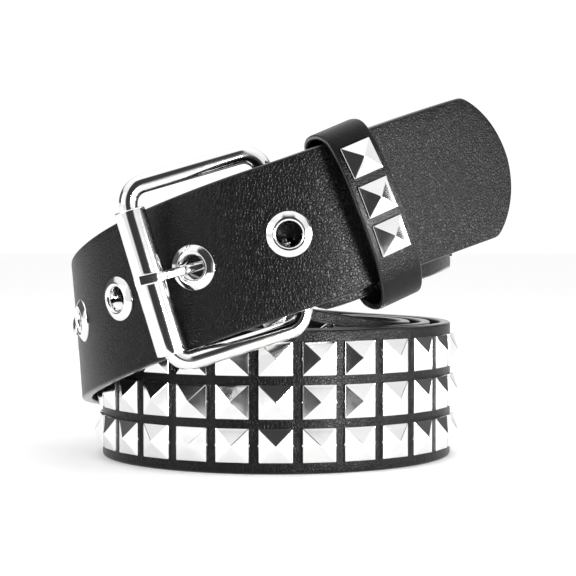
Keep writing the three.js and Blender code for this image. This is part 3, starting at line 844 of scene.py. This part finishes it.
class StrapPiece:
    """The leather strap: the tip, the turns of the coil, the fold round the bar and its tail."""

    SHARP = 50.0
    TIP_POINTS = 40
    RUN_POINTS = 640
    TAPER = 6.0

    def __init__(self, line: BeltLine, eyelets: EyeletSizes) -> None:
        """Keeps the line that the strap follows."""
        self.line = line
        self.sizes = line.strap
        self.eyelets = eyelets

    def half_width(self, distance: Array) -> Array:
        """Half width near the tip: the softer minimum of the tip's arc and the full half width.

        The arc has radius R = (w squared / 4 + b squared) / 2b for a width w and a bulge b, and its
        half width at a distance d is the root of 2Rd - d squared. The softer minimum of p and q is
        -k log(exp(-p/k) + exp(-q/k)), for the corner's size k.

        Args:
            distance: Distances from the end of the tip.

        Returns:
            A half width for each.
        """
        width, bulge, corner = self.sizes.width, self.sizes.tip_bulge, self.sizes.tip_corner
        radius = (width**2 / 4 + bulge**2) / (2 * bulge)
        near = np.minimum(distance, radius)
        arc = np.sqrt(np.maximum(2 * radius * near - near**2, 0.0))
        gap = np.abs(arc - width / 2)
        soft = np.minimum(arc, width / 2) - corner * np.log1p(np.exp(-gap / corner))
        return np.maximum(np.where(distance > radius, width / 2, soft), 0.03)

    def main_run(self) -> Tuple[Frames, Array]:
        """Frames and half widths from the tip to the fold.

        Distances are close together at the tip, then 2 mm apart. Over the last stretch the width
        turns to lie along the buckle's bar, by a smooth step.

        Returns:
            The frames, and a half width for each.
        """
        tip = self.sizes.tip_bulge * 2.0
        early = tip * np.linspace(0.0, 1.0, self.TIP_POINTS) ** 2 + 0.01
        later = np.linspace(tip, self.line.route.length, self.RUN_POINTS)[1:]
        distance = np.concatenate([early, later])
        frames = self.line.route.frames(distance)
        twist = StudSizes().pitch * 2.0
        share = smooth(distance, self.line.route.length - twist, self.line.route.length)[:, None]
        up = unit(frames.up * (1 - share) + self.line.axes.up * share)
        out = np.cross(up, frames.along)
        narrow = smooth(distance, self.line.route.length - self.TAPER, self.line.route.length)
        taper = narrow * (self.sizes.width - self.sizes.fold_width) / 2
        return Frames(frames.point, frames.along, out, up), self.half_width(distance) - taper

    def fold_run(self) -> Frames:
        """Frames round the bar: out turns half a circle, and the line keeps its radius from the bar."""
        line = self.line
        middle = line.end.point - line.end.out * line.fold_radius
        side = np.cross(line.end.out, line.axes.up)
        angle = np.linspace(0.0, math.pi, 26)[1:, None]
        out = line.end.out * np.cos(angle) + side * np.sin(angle)
        up = np.broadcast_to(line.axes.up, out.shape)
        return Frames(middle + out * line.fold_radius, np.cross(up, out), out, up)

    def tail_run(self) -> Frames:
        """Frames of the end laid back inside the strap, which closes on it by a smooth step."""
        line = self.line
        back = np.linspace(2.0, self.sizes.fold_tail, 17)
        frames = line.route.frames(line.route.length - back)
        close = self.sizes.thickness + line.buckle_sizes.clearance
        share = smooth(back, 0.0, self.sizes.fold_tail / 2)[:, None]
        inward = 2 * line.fold_radius * (1 - share) + close * share
        slant = (frames.out @ line.axes.up)[:, None]
        up = unit(line.axes.up - frames.out * slant)
        return Frames(frames.point - frames.out * inward, -frames.along, -frames.out, up)

    def skin(self) -> Skin:
        """The strap's surface.

        A rounded section is carried along the line: a point of it goes to the line's point plus its
        place across times up, plus its height times out.

        Returns:
            The surface, with its cut edges and its flesh side marked.
        """
        sizes = self.sizes
        section = rounded_section(sizes.width / 2, sizes.thickness / 2, sizes.edge_radius, 9, 5)
        main, half = self.main_run()
        fold, tail = self.fold_run(), self.tail_run()
        runs = [main, fold, tail]
        folded = np.full(len(fold.point) + len(tail.point), sizes.fold_width / 2)
        half = np.concatenate([half, folded])
        point = np.concatenate([run.point for run in runs])[:, None, :]
        up = np.concatenate([run.up for run in runs])[:, None, :]
        out = np.concatenate([run.out for run in runs])[:, None, :]
        places = across(section, half, sizes.edge_radius)[:, :, None]
        rings = point + up * places + out * section[None, :, 2, None]
        cut = smooth(np.abs(section[:, 1]), 0.15 * sizes.edge_radius, 0.9 * sizes.edge_radius)
        flesh = (section[:, 2] < 0).astype(float)
        ones = np.ones((len(rings), 1))
        return Skin.sweep(rings, False, {"cut_edge": cut * ones, "flesh_side": flesh * ones})

    def cutters(self) -> Skin:
        """Cylinders through the eyelets' places, and a box for the prong's slot in the fold."""
        line = self.line
        frames = line.eyelets
        radius = self.eyelets.hole / 2 + self.eyelets.wall + 0.1
        depth = self.sizes.thickness
        angle = np.linspace(0.0, 2.0 * math.pi, 32, endpoint=False)
        skins = []
        for point, up, out in zip(frames.point, frames.up, frames.out):
            side = np.cross(up, out)
            circle = radius * (np.cos(angle)[:, None] * side + np.sin(angle)[:, None] * up)
            rings = np.stack([point + circle - out * depth, point + circle + out * depth])
            skins.append(Skin.sweep(rings, False))
        skins.append(self.slot_cutter())
        return Skin.join(skins)

    def slot_cutter(self) -> Skin:
        """A box across the fold, where the prong comes through."""
        line, sizes = self.line, self.line.buckle_sizes
        outer = line.fold_radius + self.sizes.thickness / 2
        half = sizes.prong_width / 2 + 0.7
        level = Prong(line).seat
        low = np.array([-outer - 0.5, level - half, -outer - self.sizes.thickness])
        high = np.array([outer - 0.6, level + half, outer + 0.5])
        corners = np.array([(0, 0), (1, 0), (1, 1), (0, 1)])
        ring = low[:2] + corners * (high - low)[:2]
        rings = np.stack([np.column_stack([ring, np.full(4, z)]) for z in (low[2], high[2])])
        return Skin.sweep(rings, False).placed(line.axes.matrix, line.axes.origin)

    def make(self, shop: Workshop) -> None:
        """Builds the strap and puts it on the frame."""
        leather = Leather("belt_leather").material()
        piece = shop.build("strap_leather", self.skin(), leather, self.SHARP)
        cutter = shop.build("strap_cutter", self.cutters(), leather, self.SHARP)
        shop.cut(piece, cutter, self.SHARP)
        shop.finish(piece, ["strap"])


class Studs:
    """Pyramid studs, each a pressed cap with a skirt, four hollowed faces and two legs."""

    COLUMNS = 13
    ROWS = (1, 2, 3)
    SHARP = 9.0

    def __init__(self, line: BeltLine, sizes: StudSizes) -> None:
        """Keeps the line and the sizes."""
        self.line = line
        self.sizes = sizes

    def cap(self) -> Skin:
        """One cap with its middle on Z.

        It is a stack of squares with cut corners. Their half size falls evenly to the point, while
        their height rises as the share of the way raised to the power hollow, so the faces sink.

        Returns:
            The cap.
        """
        sizes = self.sizes
        half = sizes.size / 2
        share = np.array([0.0, 0.14, 0.34, 0.56, 0.78, 0.97])
        rise = sizes.height - sizes.skirt
        widths = np.concatenate([[half, half, half - 0.06], (half - 0.14) * (1 - share)])
        heights = np.concatenate(
            [[-sizes.sunk, sizes.skirt - 0.16, sizes.skirt - 0.04], sizes.skirt + rise * share**sizes.hollow]
        )
        cut = np.minimum(sizes.ridge, widths * 0.45)
        near = widths - cut
        x = np.stack([widths, near, -near, -widths, -widths, -near, near, widths], axis=1)
        y = np.stack([near, widths, widths, near, -near, -widths, -widths, -near], axis=1)
        z = np.repeat(heights[:, None], 8, axis=1)
        return Skin.sweep(np.stack([x, y, z], axis=-1), False)

    def legs(self) -> Skin:
        """Two small folded legs, one at each side of the cap."""
        sizes = self.sizes
        half = sizes.leg / 2
        outline = np.array([(-half, 0.0), (-half * 0.6, 1.0), (half * 0.6, 1.0), (half, 0.0)])
        skins = []
        for side in (1.0, -1.0):
            x = side * (sizes.size / 2 - 0.2 + outline[:, 1] * (sizes.leg_reach + 0.2))
            rings = np.stack([np.column_stack([x, outline[:, 0], np.full(4, z)]) for z in (-sizes.sunk, 0.3)])
            skins.append(Skin.sweep(rings, False))
        return Skin.join(skins)

    def frames(self) -> Tuple[Array, Array, Array]:
        """Places, up and out directions of all studs on the strap."""
        sizes, line = self.sizes, self.line
        eyelets = EyeletSizes()
        first = math.ceil((eyelets.places()[-1] + sizes.margin - line.front_place) / sizes.pitch)
        last = math.floor((line.route.length - line.strap.plain_end - line.front_place) / sizes.pitch)
        frames = line.route.frames(line.front_place + np.arange(first, last + 1) * sizes.pitch)
        rows = (np.array([-1.0, 0.0, 1.0]) * sizes.row_pitch)[None, :, None]
        lift = line.strap.thickness / 2 + sizes.lift
        place = frames.point[:, None, :] + frames.up[:, None, :] * rows + frames.out[:, None, :] * lift
        spread = np.ones_like(rows)
        return (
            place.reshape(-1, 3),
            (frames.up[:, None, :] * spread).reshape(-1, 3),
            (frames.out[:, None, :] * spread).reshape(-1, 3),
        )

    @staticmethod
    def copies(cap: Skin, place: Array, up: Array, out: Array) -> Skin:
        """A skin at each place: a point (x, y, z) goes to place + x side + y up + z out.

        Args:
            cap: The skin to copy.
            place: Where each copy stands.
            up: Each copy's Y.
            out: Each copy's Z.

        Returns:
            The copies as one skin.
        """
        axes = np.stack([np.cross(up, out), up, out], axis=1)
        points = np.einsum("pk,nkj->npj", cap.points, axes) + place[:, None, :]
        count = len(cap.points)
        faces = [[n * count + k for k in face] for n in range(len(place)) for face in cap.faces]
        return Skin(points.reshape(-1, 3), faces)

    def make(self, shop: Workshop, metal: bpy.types.Material) -> None:
        """Builds all studs on the strap as one piece."""
        stud = Skin.join([self.cap(), self.legs()])
        piece = shop.build("stud_caps", self.copies(stud, *self.frames()), metal, self.SHARP)
        nodes = [f"stud_{c}_{r}" for c in range(1, self.COLUMNS + 1) for r in self.ROWS]
        shop.finish(piece, nodes)


class Eyelets:
    """Two-part eyelets: a domed ring in front, a tube through the leather and a ring behind."""

    def __init__(self, line: BeltLine, sizes: EyeletSizes) -> None:
        """Keeps the line and the sizes."""
        self.line = line
        self.sizes = sizes

    def profile(self) -> Array:
        """Radius and height of the closed section.

        It runs from the rim's foot up a slightly hollow flank to the ridge, then down the inner lip,
        a quarter of an ellipse, and back outside the tube.

        Returns:
            The section's points.
        """
        sizes = self.sizes
        bore, edge = sizes.hole / 2, sizes.flange / 2
        wall = bore + sizes.wall
        face = self.line.strap.thickness / 2
        foot = np.array([(edge, face - 0.45), (edge, face + 0.1), (edge - 0.05, face + 0.2)])
        share = np.linspace(0.0, 1.0, 6)
        flank = np.stack([
            edge - 0.17 - (edge - 0.17 - sizes.ridge) * share,
            face + 0.28 + (sizes.rim - 0.3) * (1.18 * share - 0.18 * share**2),
        ], axis=1)
        reach = sizes.ridge - 0.12 - bore
        funnel = np.radians(np.linspace(8.0, 86.0, 9))
        lip = np.stack([
            sizes.ridge - 0.1 - reach * np.sin(funnel), face + (sizes.rim - 0.02) * np.cos(funnel),
        ], axis=1)
        tube = np.array([(bore, face - 0.5), (bore, -face - 0.3), (bore + 0.15, -face - 0.55)])
        back = np.array([
            (edge * 0.8, -face - 0.6), (edge * 0.88, -face - 0.45), (edge * 0.88, -face + 0.3),
            (wall, -face + 0.3), (wall, face - 0.45),
        ])
        return np.concatenate([foot, flank, lip, tube, back])

    def skin(self) -> Skin:
        """All eyelets: the profile turned round each eyelet's own axis."""
        ring = Skin.sweep(lathe(self.profile(), 56), True)
        frames = self.line.eyelets
        skins = []
        for point, up, out in zip(frames.point, frames.up, frames.out):
            skins.append(ring.placed(np.stack([np.cross(up, out), up, out]), point))
        return Skin.join(skins)

    def make(self, shop: Workshop, metal: bpy.types.Material) -> None:
        """Builds the eyelets."""
        piece = shop.build("eyelet_rings", self.skin(), metal, 40.0)
        shop.finish(piece, [f"eyelet_{k + 1}" for k in range(self.sizes.count)])


class Prong:
    """The prong: a curl round the bar, a bent run up through its eyelet, and a flat squared end."""

    # Its way through the eyelet, from the bar's side: shares of half the flange along the strap, and
    # of the strap's thickness out of it.
    WAY = np.array([(-1.0, -1.35), (-0.65, -1.25), (-0.28, -0.83), (0.3, 0.8)])

    def __init__(self, line: BeltLine) -> None:
        """Finds where the prong crosses the strap."""
        self.line = line
        self.sizes = line.buckle_sizes
        index = EyeletSizes().pierced
        self.ahead = line.eyelets.along[index]
        self.spot = line.axes.inside(line.eyelets.point[index])
        self.turn = math.radians(self.sizes.prong_turn)
        self.seat = float(self.spot[1] + self.spot[0] * math.tan(self.turn))

    def line_points(self) -> Array:
        """X and Z of the middle line, in the buckle's axes.

        The curl is an arc round the bar. From its top a Catmull-Rom curve runs under the strap, up
        through the eyelet and over the roller.

        Returns:
            The line's points.
        """
        sizes = self.sizes
        curl = sizes.wire / 2 + sizes.clearance + sizes.prong_thickness / 2
        angle = np.radians(np.linspace(-160.0, 90.0, 34))
        arc = curl * np.stack([np.cos(angle), np.sin(angle)], axis=1)
        axes = self.line.axes
        ahead = unit(np.array([self.ahead @ axes.along, self.ahead @ axes.out]))
        outward = np.array([ahead[1], -ahead[0]])
        flange, thick = EyeletSizes().flange / 2, self.line.strap.thickness
        through = self.spot[[0, 2]] + self.WAY[:, :1] * flange * ahead + self.WAY[:, 1:] * thick * outward
        over = sizes.roller_size / 2 + sizes.clearance + sizes.prong_thickness / 2
        bar = -sizes.bar_spacing
        end = np.array([
            (bar + over * 0.78, over * 0.7), (bar + over * 0.36, over * 0.97),
            (bar, over * 1.01), (bar - sizes.prong_overhang, over * 0.97),
        ])
        start = np.array([(0.0, curl), (-curl, curl * 0.9)])
        run = catmull_rom(np.concatenate([start, through, end]), 90)
        return np.concatenate([arc, run[1:]])

    def skin(self) -> Skin:
        """The prong's surface: a rounded section carried along the line, broader towards its end."""
        sizes = self.sizes
        path = self.line_points()
        heading = unit(np.gradient(path, axis=0))
        normal = np.stack([heading[:, 1], -heading[:, 0]], axis=1)
        share = np.linspace(0.0, 1.0, len(path))
        broad = 0.82 + 0.22 * smooth(share, 0.5, 0.95)
        section = rounded_section(sizes.prong_width / 2, sizes.prong_thickness / 2, 0.42, 3, 4)
        half = broad * sizes.prong_width / 2
        height = np.where(share > 0.985, 0.86, 1.0) * (1 - 0.12 * smooth(share, 0.7, 1.0))
        wide = across(section, half, 0.42)
        deep = section[None, :, 2] * height[:, None]
        x = path[:, :1] + normal[:, :1] * deep
        z = path[:, 1:] + normal[:, 1:] * deep
        cos, sin = math.cos(self.turn), math.sin(self.turn)
        turned_x = x * cos + wide * sin
        turned_y = -x * sin + wide * cos
        rings = np.stack([turned_x, turned_y + self.seat, z], axis=-1)
        return Skin.sweep(rings, False).placed(self.line.axes.matrix, self.line.axes.origin)


def catmull_rom(points: Array, steps: int) -> Array:
    """Uniform Catmull-Rom curve through points.

    Each span is a cubic whose slope at a point is half the difference of that point's neighbours.

    Args:
        points: The points that it passes.
        steps: How many spans the result has.

    Returns:
        The curve's points.
    """
    place = np.linspace(0.0, len(points) - 1.0, steps + 1)
    first = np.minimum(np.floor(place).astype(int), len(points) - 2)
    t = (place - first)[:, None]
    a, b, c, d = (points[np.clip(first + k, 0, len(points) - 1)] for k in (-1, 0, 1, 2))
    return (
        (2 * b + (c - a) * t + (2 * a - 5 * b + 4 * c - d) * t**2 + (3 * b - a - 3 * c + d) * t**3) / 2
    )


class Buckle:
    """The wire frame, the roller on its left bar, and the prong."""

    def __init__(self, line: BeltLine) -> None:
        """Keeps the line."""
        self.line = line
        self.sizes = line.buckle_sizes

    def wire_skin(self) -> Skin:
        """The frame: a circle carried round a rectangle with round corners.

        At an angle a round a corner, the wire's middle is the corner's middle plus the corner's
        radius times (cos a, sin a), and the circle stands on that direction and on Z.

        Returns:
            The wire's surface.
        """
        sizes = self.sizes
        left = -sizes.bar_spacing
        half = self.line.strap.width / 2 + sizes.frame_gap + sizes.wire / 2
        bend = sizes.frame_corner
        high, low, far = half - bend, bend - half, left + bend
        middles = np.array([(-bend, high), (far, high), (far, low), (-bend, low)])
        angle = np.radians(np.linspace(0.0, 90.0, 15))
        away = np.concatenate([
            np.stack([np.cos(angle + k * math.pi / 2), np.sin(angle + k * math.pi / 2)], 1) for k in range(4)
        ])
        path = np.repeat(middles, len(angle), axis=0) + bend * away
        path, away = refine_loop(path, away, 3.0)
        roll = np.linspace(0.0, 2.0 * math.pi, 28, endpoint=False)[None, :]
        flat = path[:, None, :] + away[:, None, :] * (np.cos(roll) * sizes.wire / 2)[:, :, None]
        z = np.broadcast_to(np.sin(roll) * sizes.wire / 2, flat.shape[:2])
        rings = np.concatenate([flat, z[:, :, None]], axis=2)
        return Skin.sweep(rings, True).placed(self.line.axes.matrix, self.line.axes.origin)

    def roller_skin(self) -> Skin:
        """The roller: a tube whose ends are turned in, lathed round the left bar."""
        sizes = self.sizes
        outer, half = sizes.roller_size / 2, sizes.roller_length / 2
        bore = outer - sizes.roller_wall
        turn = np.radians(np.linspace(0.0, 90.0, 6))
        bend = 0.45
        end = np.stack([outer - bend + bend * np.cos(turn), half - bend + bend * np.sin(turn)], 1)
        body = np.column_stack([np.full(24, outer), np.linspace(-half + bend, half - bend, 24)])[1:-1]
        start = end[::-1] * np.array([1.0, -1.0])
        inner = np.array([(bore, half), (bore, half - 1.0), (bore, -half + 1.0), (bore, -half)])
        rings = lathe(np.concatenate([start, body, end, inner]), 72)
        stood = rings[:, :, [1, 2, 0]] + np.array([-sizes.bar_spacing, -sizes.roller_slide, 0.0])
        return Skin.sweep(stood, True).placed(self.line.axes.matrix, self.line.axes.origin)

    def make(self, shop: Workshop, metal: bpy.types.Material) -> None:
        """Builds the three pieces."""
        jobs = [
            ("buckle_wire", self.wire_skin(), "buckle_frame", 40.0),
            ("roller_tube", self.roller_skin(), "roller", 40.0),
            ("prong_bar", Prong(self.line).skin(), "prong", 32.0),
        ]
        for name, skin, node, angle in jobs:
            shop.finish(shop.build(name, skin, metal, angle), [node])


def refine_loop(path: Array, away: Array, step: float) -> Tuple[Array, Array]:
    """Adds evenly spaced points to the long spans of a closed line.

    Args:
        path: The line's points.
        away: A direction for each.
        step: The widest span that stays whole.

    Returns:
        The finer line and its directions.
    """
    new_path, new_away = [], []
    following = np.roll(path, -1, axis=0)
    for here, ahead, side in zip(path, following, away):
        span = float(np.linalg.norm(ahead - here))
        count = max(1, math.ceil(span / step))
        share = (np.arange(count) / count)[:, None]
        new_path.append(here + (ahead - here) * share)
        new_away.append(np.repeat(side[None, :], count, axis=0))
    return np.concatenate(new_path), np.concatenate(new_away)


class Keeper:
    """The keeper: a bowed loop of leather with three studs on its face."""

    # The loop seen along the strap: shares of its half height up, of its bow out, and of its depth in.
    LOOP = np.array([
        (1, 0.22, 0), (0.82, 0.65, 0), (0.45, 0.93, 0), (0, 1, 0), (-0.45, 0.93, 0), (-0.8, 0.62, 0),
        (-1, 0.05, 0), (-1, 0, 0.78), (-0.8, 0, 1), (0, 0, 1), (0.8, 0, 1), (0.97, 0, 0.75),
    ])

    def __init__(self, line: BeltLine, sizes: KeeperSizes) -> None:
        """Works out the loop round the tip and the buckle end."""
        self.sizes = sizes
        strap = line.strap
        held = line.route.frames(np.array(sizes.place))
        up, along = (turned(way, held.out, sizes.turn) for way in (held.up, held.along))
        self.frames = Frames(held.point, along, held.out, up)
        half = sizes.thickness / 2
        top = strap.width / 2 + sizes.slack + half
        bottom = strap.width / 2 + BUCKLE_END[0, 1] * strap.width + sizes.sag + half
        face = strap.thickness / 2 + half + sizes.bow
        back = strap.thickness * 1.5 + strap.tip_gap + half + sizes.depth
        up = self.LOOP[:, 0] * (top + bottom) / 2 + (top - bottom) / 2
        out = self.LOOP[:, 1] * face - self.LOOP[:, 2] * back
        self.loop = even_loop(np.stack([up, out], axis=1), 240)

    def place(self, flat: Array) -> Array:
        """Points from their places up and out of the strap."""
        return self.frames.point + flat[..., :1] * self.frames.up + flat[..., 1:] * self.frames.out

    def skin(self) -> Skin:
        """The band: a rounded section carried round the loop."""
        sizes = self.sizes
        heading = unit(np.roll(self.loop, -1, axis=0) - np.roll(self.loop, 1, axis=0))
        normal = np.stack([heading[:, 1], -heading[:, 0]], axis=1)
        section = rounded_section(sizes.width / 2, sizes.thickness / 2, sizes.edge_radius, 5, 4)
        wide = section[:, 0] * (sizes.width / 2 - sizes.edge_radius) + section[:, 1]
        flat = self.loop[:, None, :] + normal[:, None, :] * section[None, :, 2, None]
        rings = self.place(flat) + self.frames.along * wide[None, :, None]
        cut = smooth(np.abs(section[:, 1]), 0.2 * sizes.edge_radius, 0.95 * sizes.edge_radius)
        return Skin.sweep(rings, True, {"cut_edge": cut * np.ones((len(rings), 1))})

    def stud_frames(self, lift: float) -> Tuple[Array, Array, Array]:
        """Where the three studs stand on the bowed face.

        Args:
            lift: How far they stand off the leather.

        Returns:
            Their places, up directions and out directions.
        """
        front = self.loop[: len(self.loop) // 2]
        heights = np.array([1.0, 0.0, -1.0]) * self.sizes.stud_pitch + self.sizes.studs_up
        index = np.array([int(np.argmin(np.abs(front[:, 0] - height))) for height in heights])
        heading = unit(self.loop[index + 1] - self.loop[index - 1])
        seat = self.sizes.thickness / 2 + lift
        outward = np.stack([-heading[:, 1], heading[:, 0]], axis=1)
        outward *= np.sign(outward[:, 1:])
        out = unit(outward[:, :1] * self.frames.up + outward[:, 1:] * self.frames.out)
        up = unit(np.cross(out, self.frames.along))
        return self.place(self.loop[index]) + out * seat, up, out

    def make(self, shop: Workshop, metal: bpy.types.Material, studs: Studs) -> None:
        """Builds the band and its studs."""
        leather = Leather("keeper_leather", pebble=0.0007, depth=0.00005, gloss=0.3).material()
        band = shop.build("keeper_band", self.skin(), leather, StrapPiece.SHARP)
        shop.finish(band, ["keeper_loop"])
        small = Studs(studs.line, StudSizes(size=self.sizes.stud_size))
        caps = small.copies(small.cap(), *self.stud_frames(small.sizes.lift))
        piece = shop.build("keeper_caps", caps, metal, Studs.SHARP)
        shop.finish(piece, [f"keeper_stud_{k}" for k in (1, 2, 3)])


def even_loop(points: Array, count: int) -> Array:
    """A closed centripetal Catmull-Rom curve through points, read at even steps along it.

    Each span's knots are spaced by the root of the distance between its points, and its slopes are
    those of the curves through three neighbours.

    Args:
        points: The points that it passes.
        count: How many points the result has.

    Returns:
        The loop.
    """
    a, b = np.roll(points, 1, axis=0), points
    c, d = np.roll(points, -1, axis=0), np.roll(points, -2, axis=0)
    gaps = [np.sqrt(np.linalg.norm(q - p, axis=1))[:, None] for p, q in ((a, b), (b, c), (c, d))]
    first = ((b - a) / gaps[0] - (c - a) / (gaps[0] + gaps[1]) + (c - b) / gaps[1]) * gaps[1]
    second = ((c - b) / gaps[1] - (d - b) / (gaps[1] + gaps[2]) + (d - c) / gaps[2]) * gaps[1]
    t = np.linspace(0.0, 1.0, 60, endpoint=False)[None, :, None]
    b, c, first, second = (v[:, None, :] for v in (b, c, first, second))
    curve = b + first * t + (3 * (c - b) - 2 * first - second) * t**2 + (2 * (b - c) + first + second) * t**3
    curve = curve.reshape(-1, 2)
    closed = np.concatenate([curve, curve[:1]])
    distance = np.concatenate([[0.0], np.cumsum(np.linalg.norm(np.diff(closed, axis=0), axis=1))])
    steps = np.linspace(0.0, distance[-1], count, endpoint=False)
    return np.stack([np.interp(steps, distance, closed[:, k]) for k in (0, 1)], axis=1)


# ---- Studio


@dataclass(frozen=True)
class Lamp:
    """A square soft light aimed at the middle of the belt."""

    name: str
    place: Tuple[float, float, float]
    size: float
    power: float
    aim: Tuple[float, float, float] = (0.0, 0.0, 0.05)

    def make(self) -> None:
        """Adds the light to the scene."""
        data = bpy.data.lights.new(self.name, "AREA")
        data.shape = "SQUARE"
        data.size = self.size
        data.energy = self.power
        lamp = bpy.data.objects.new(self.name, data)
        aim = np.array(self.aim) - np.array(self.place)
        tilt = math.acos(-aim[2] / float(np.linalg.norm(aim)))
        lamp.location = self.place
        lamp.rotation_euler = (tilt, 0.0, math.atan2(aim[1], aim[0]) - math.pi / 2)
        bpy.context.scene.collection.objects.link(lamp)


@dataclass(frozen=True)
class Studio:
    """The camera, the floor and the soft light round the belt."""

    axis: Array
    distance: float = 0.531
    eye_height: float = 0.066
    focal: float = 1744.0
    picture: float = 576.0
    centre_x: float = 275.75
    horizon_y: float = 235.0
    sensor: float = 36.0
    floor_reach: float = 6.0
    floor_front: float = 0.2
    floor_glow: float = 0.11
    gap_depth: float = 0.95
    wall_depth: float = 0.88
    room_light: float = 0.92
    sky_light: float = 0.25
    backdrop: float = 1.06
    lamps: Tuple[Lamp, ...] = (
        Lamp("right", (0.31, -0.42, 0.01), 0.15, 4.6),
        Lamp("side", (0.5, -0.15, 0.06), 0.25, 1.8),
        Lamp("left", (-0.75, -0.4, 0.25), 0.4, 3.0),
        Lamp("above", (0.0, 0.15, 1.1), 0.7, 1.5),
    )

    def camera(self) -> None:
        """Stands the camera before the coil, turned so that the coil lands where the photograph has it."""
        data = bpy.data.cameras.new("camera")
        data.sensor_width = self.sensor
        data.lens = self.focal / self.picture * self.sensor
        data.clip_start = 0.01
        camera = bpy.data.objects.new("camera", data)
        middle = self.picture / 2
        yaw = math.atan((middle - self.centre_x) / self.focal)
        pitch = math.atan((middle - self.horizon_y) / self.focal)
        camera.location = (self.axis[0], self.axis[1] - self.distance, self.eye_height)
        camera.rotation_euler = (math.pi / 2 - pitch, 0.0, -yaw)
        bpy.context.scene.collection.objects.link(camera)
        bpy.context.scene.camera = camera

    def floor(self) -> None:
        """A broad pale floor."""
        mesh = bpy.data.meshes.new("floor")
        reach = self.floor_reach
        front = self.axis[1] - self.floor_front
        corners = [(-reach, front, 0.0), (reach, front, 0.0), (reach, reach, 0.0), (-reach, reach, 0.0)]
        mesh.from_pydata(corners, [], [(0, 1, 2, 3)])
        sheet = Sheet("floor_paper")
        shade = sheet.noise(0.4, 2.0) * 0.1
        sheet.feed(
            Base_Color=sheet.mix(shade, (0.93, 0.93, 0.93), (0.9, 0.9, 0.9)),
            Roughness=0.6,
            Specular_IOR_Level=0.2,
            Emission_Color=(1.0, 1.0, 1.0, 1.0),
            Emission_Strength=self.floor_glow,
        )
        mesh.materials.append(sheet.material)
        floor = bpy.data.objects.new("floor", mesh)
        bpy.context.scene.collection.objects.link(floor)

    def world(self) -> None:
        """A white room with a dark gap before the belt and darker walls at the sides behind it.

        They give the metal its dark facets. A direction's share to the front is its -Y over its level
        length. The camera itself sees plain white.
        """
        world = bpy.data.worlds.new("studio")
        bpy.context.scene.world = world
        world.use_nodes = True
        tree = world.node_tree
        tree.nodes.clear()
        place = add_node(tree, "ShaderNodeTexCoord")
        split = add_node(tree, "ShaderNodeSeparateXYZ", inputs={0: Wire(tree, place.outputs["Generated"])})
        x, y, z = (Wire(tree, split.outputs[k]) for k in range(3))
        level = (x * x + y * y + 1e-6) ** 0.5
        front = y * -1.0 * (level ** -1.0)
        gap = front.step(0.84, 0.93) * (1.0 - z.step(0.76, 0.88))
        sides = (1.0 - front.step(-0.08, 0.02)) * front.step(-0.97, -0.85)
        walls = sides * z.step(0.0, 0.05) * (1.0 - z.step(0.4, 0.5))
        light = (1.0 - gap * self.gap_depth) * (1.0 - walls * self.wall_depth)
        light = light * (self.room_light + z.step(0.3, 0.9) * self.sky_light)
        seen = add_node(tree, "ShaderNodeLightPath")
        camera = Wire(tree, seen.outputs["Is Camera Ray"])
        strength = camera * self.backdrop + (1.0 - camera) * light
        sockets = {"Color": (1.0, 1.0, 1.0, 1.0), "Strength": strength}
        back = add_node(tree, "ShaderNodeBackground", inputs=sockets)
        add_node(tree, "ShaderNodeOutputWorld", inputs={"Surface": Wire(tree, back.outputs[0])})

    def make(self) -> None:
        """Sets the scene, camera first, with its whites left white."""
        self.camera()
        bpy.context.scene.view_settings.view_transform = "Standard"
        self.floor()
        self.world()
        for lamp in self.lamps:
            lamp.make()


def coil_axis(strap: StrapSizes, buckle: BuckleSizes) -> Array:
    """The coil's axis in the part's frame, from the stud at the middle of the front.

    That stud's foot stands a clearance off the leather, and its box is centred on the axis.

    Args:
        strap: The strap's sizes.
        buckle: The buckle's sizes, for the clearance.

    Returns:
        The axis' foot in metres.
    """
    low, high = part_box("stud_7_2")
    foot = (strap.coil_radius + strap.thickness / 2 + buckle.clearance) * MM
    return np.array([(low[0] + high[0]) / 2, high[1] + foot, 0.0])


def main() -> None:
    """Builds the studio and every piece of the belt, in order."""
    logging.basicConfig(level=logging.INFO, format="%(name)s: %(message)s")
    strap, studs, eyelets = StrapSizes(), StudSizes(), EyeletSizes()
    buckle, keeper = BuckleSizes(), KeeperSizes()
    axis = coil_axis(strap, buckle)
    LOG.info("coil axis at %.5f, %.5f", axis[0], axis[1])
    Studio(axis).make()
    shop = Workshop(axis)
    line = BeltLine(strap, eyelets, buckle)
    metal = Polish("stud_metal").material()
    bright = Polish("buckle_chrome", roughness=0.05, haze=0.05, ripple=0.000006).material()
    caps = Studs(line, studs)
    StrapPiece(line, eyelets).make(shop)
    caps.make(shop, metal)
    Eyelets(line, eyelets).make(shop, bright)
    Buckle(line).make(shop, bright)
    Keeper(line, keeper).make(shop, metal, caps)


if __name__ == "__main__":
    main()
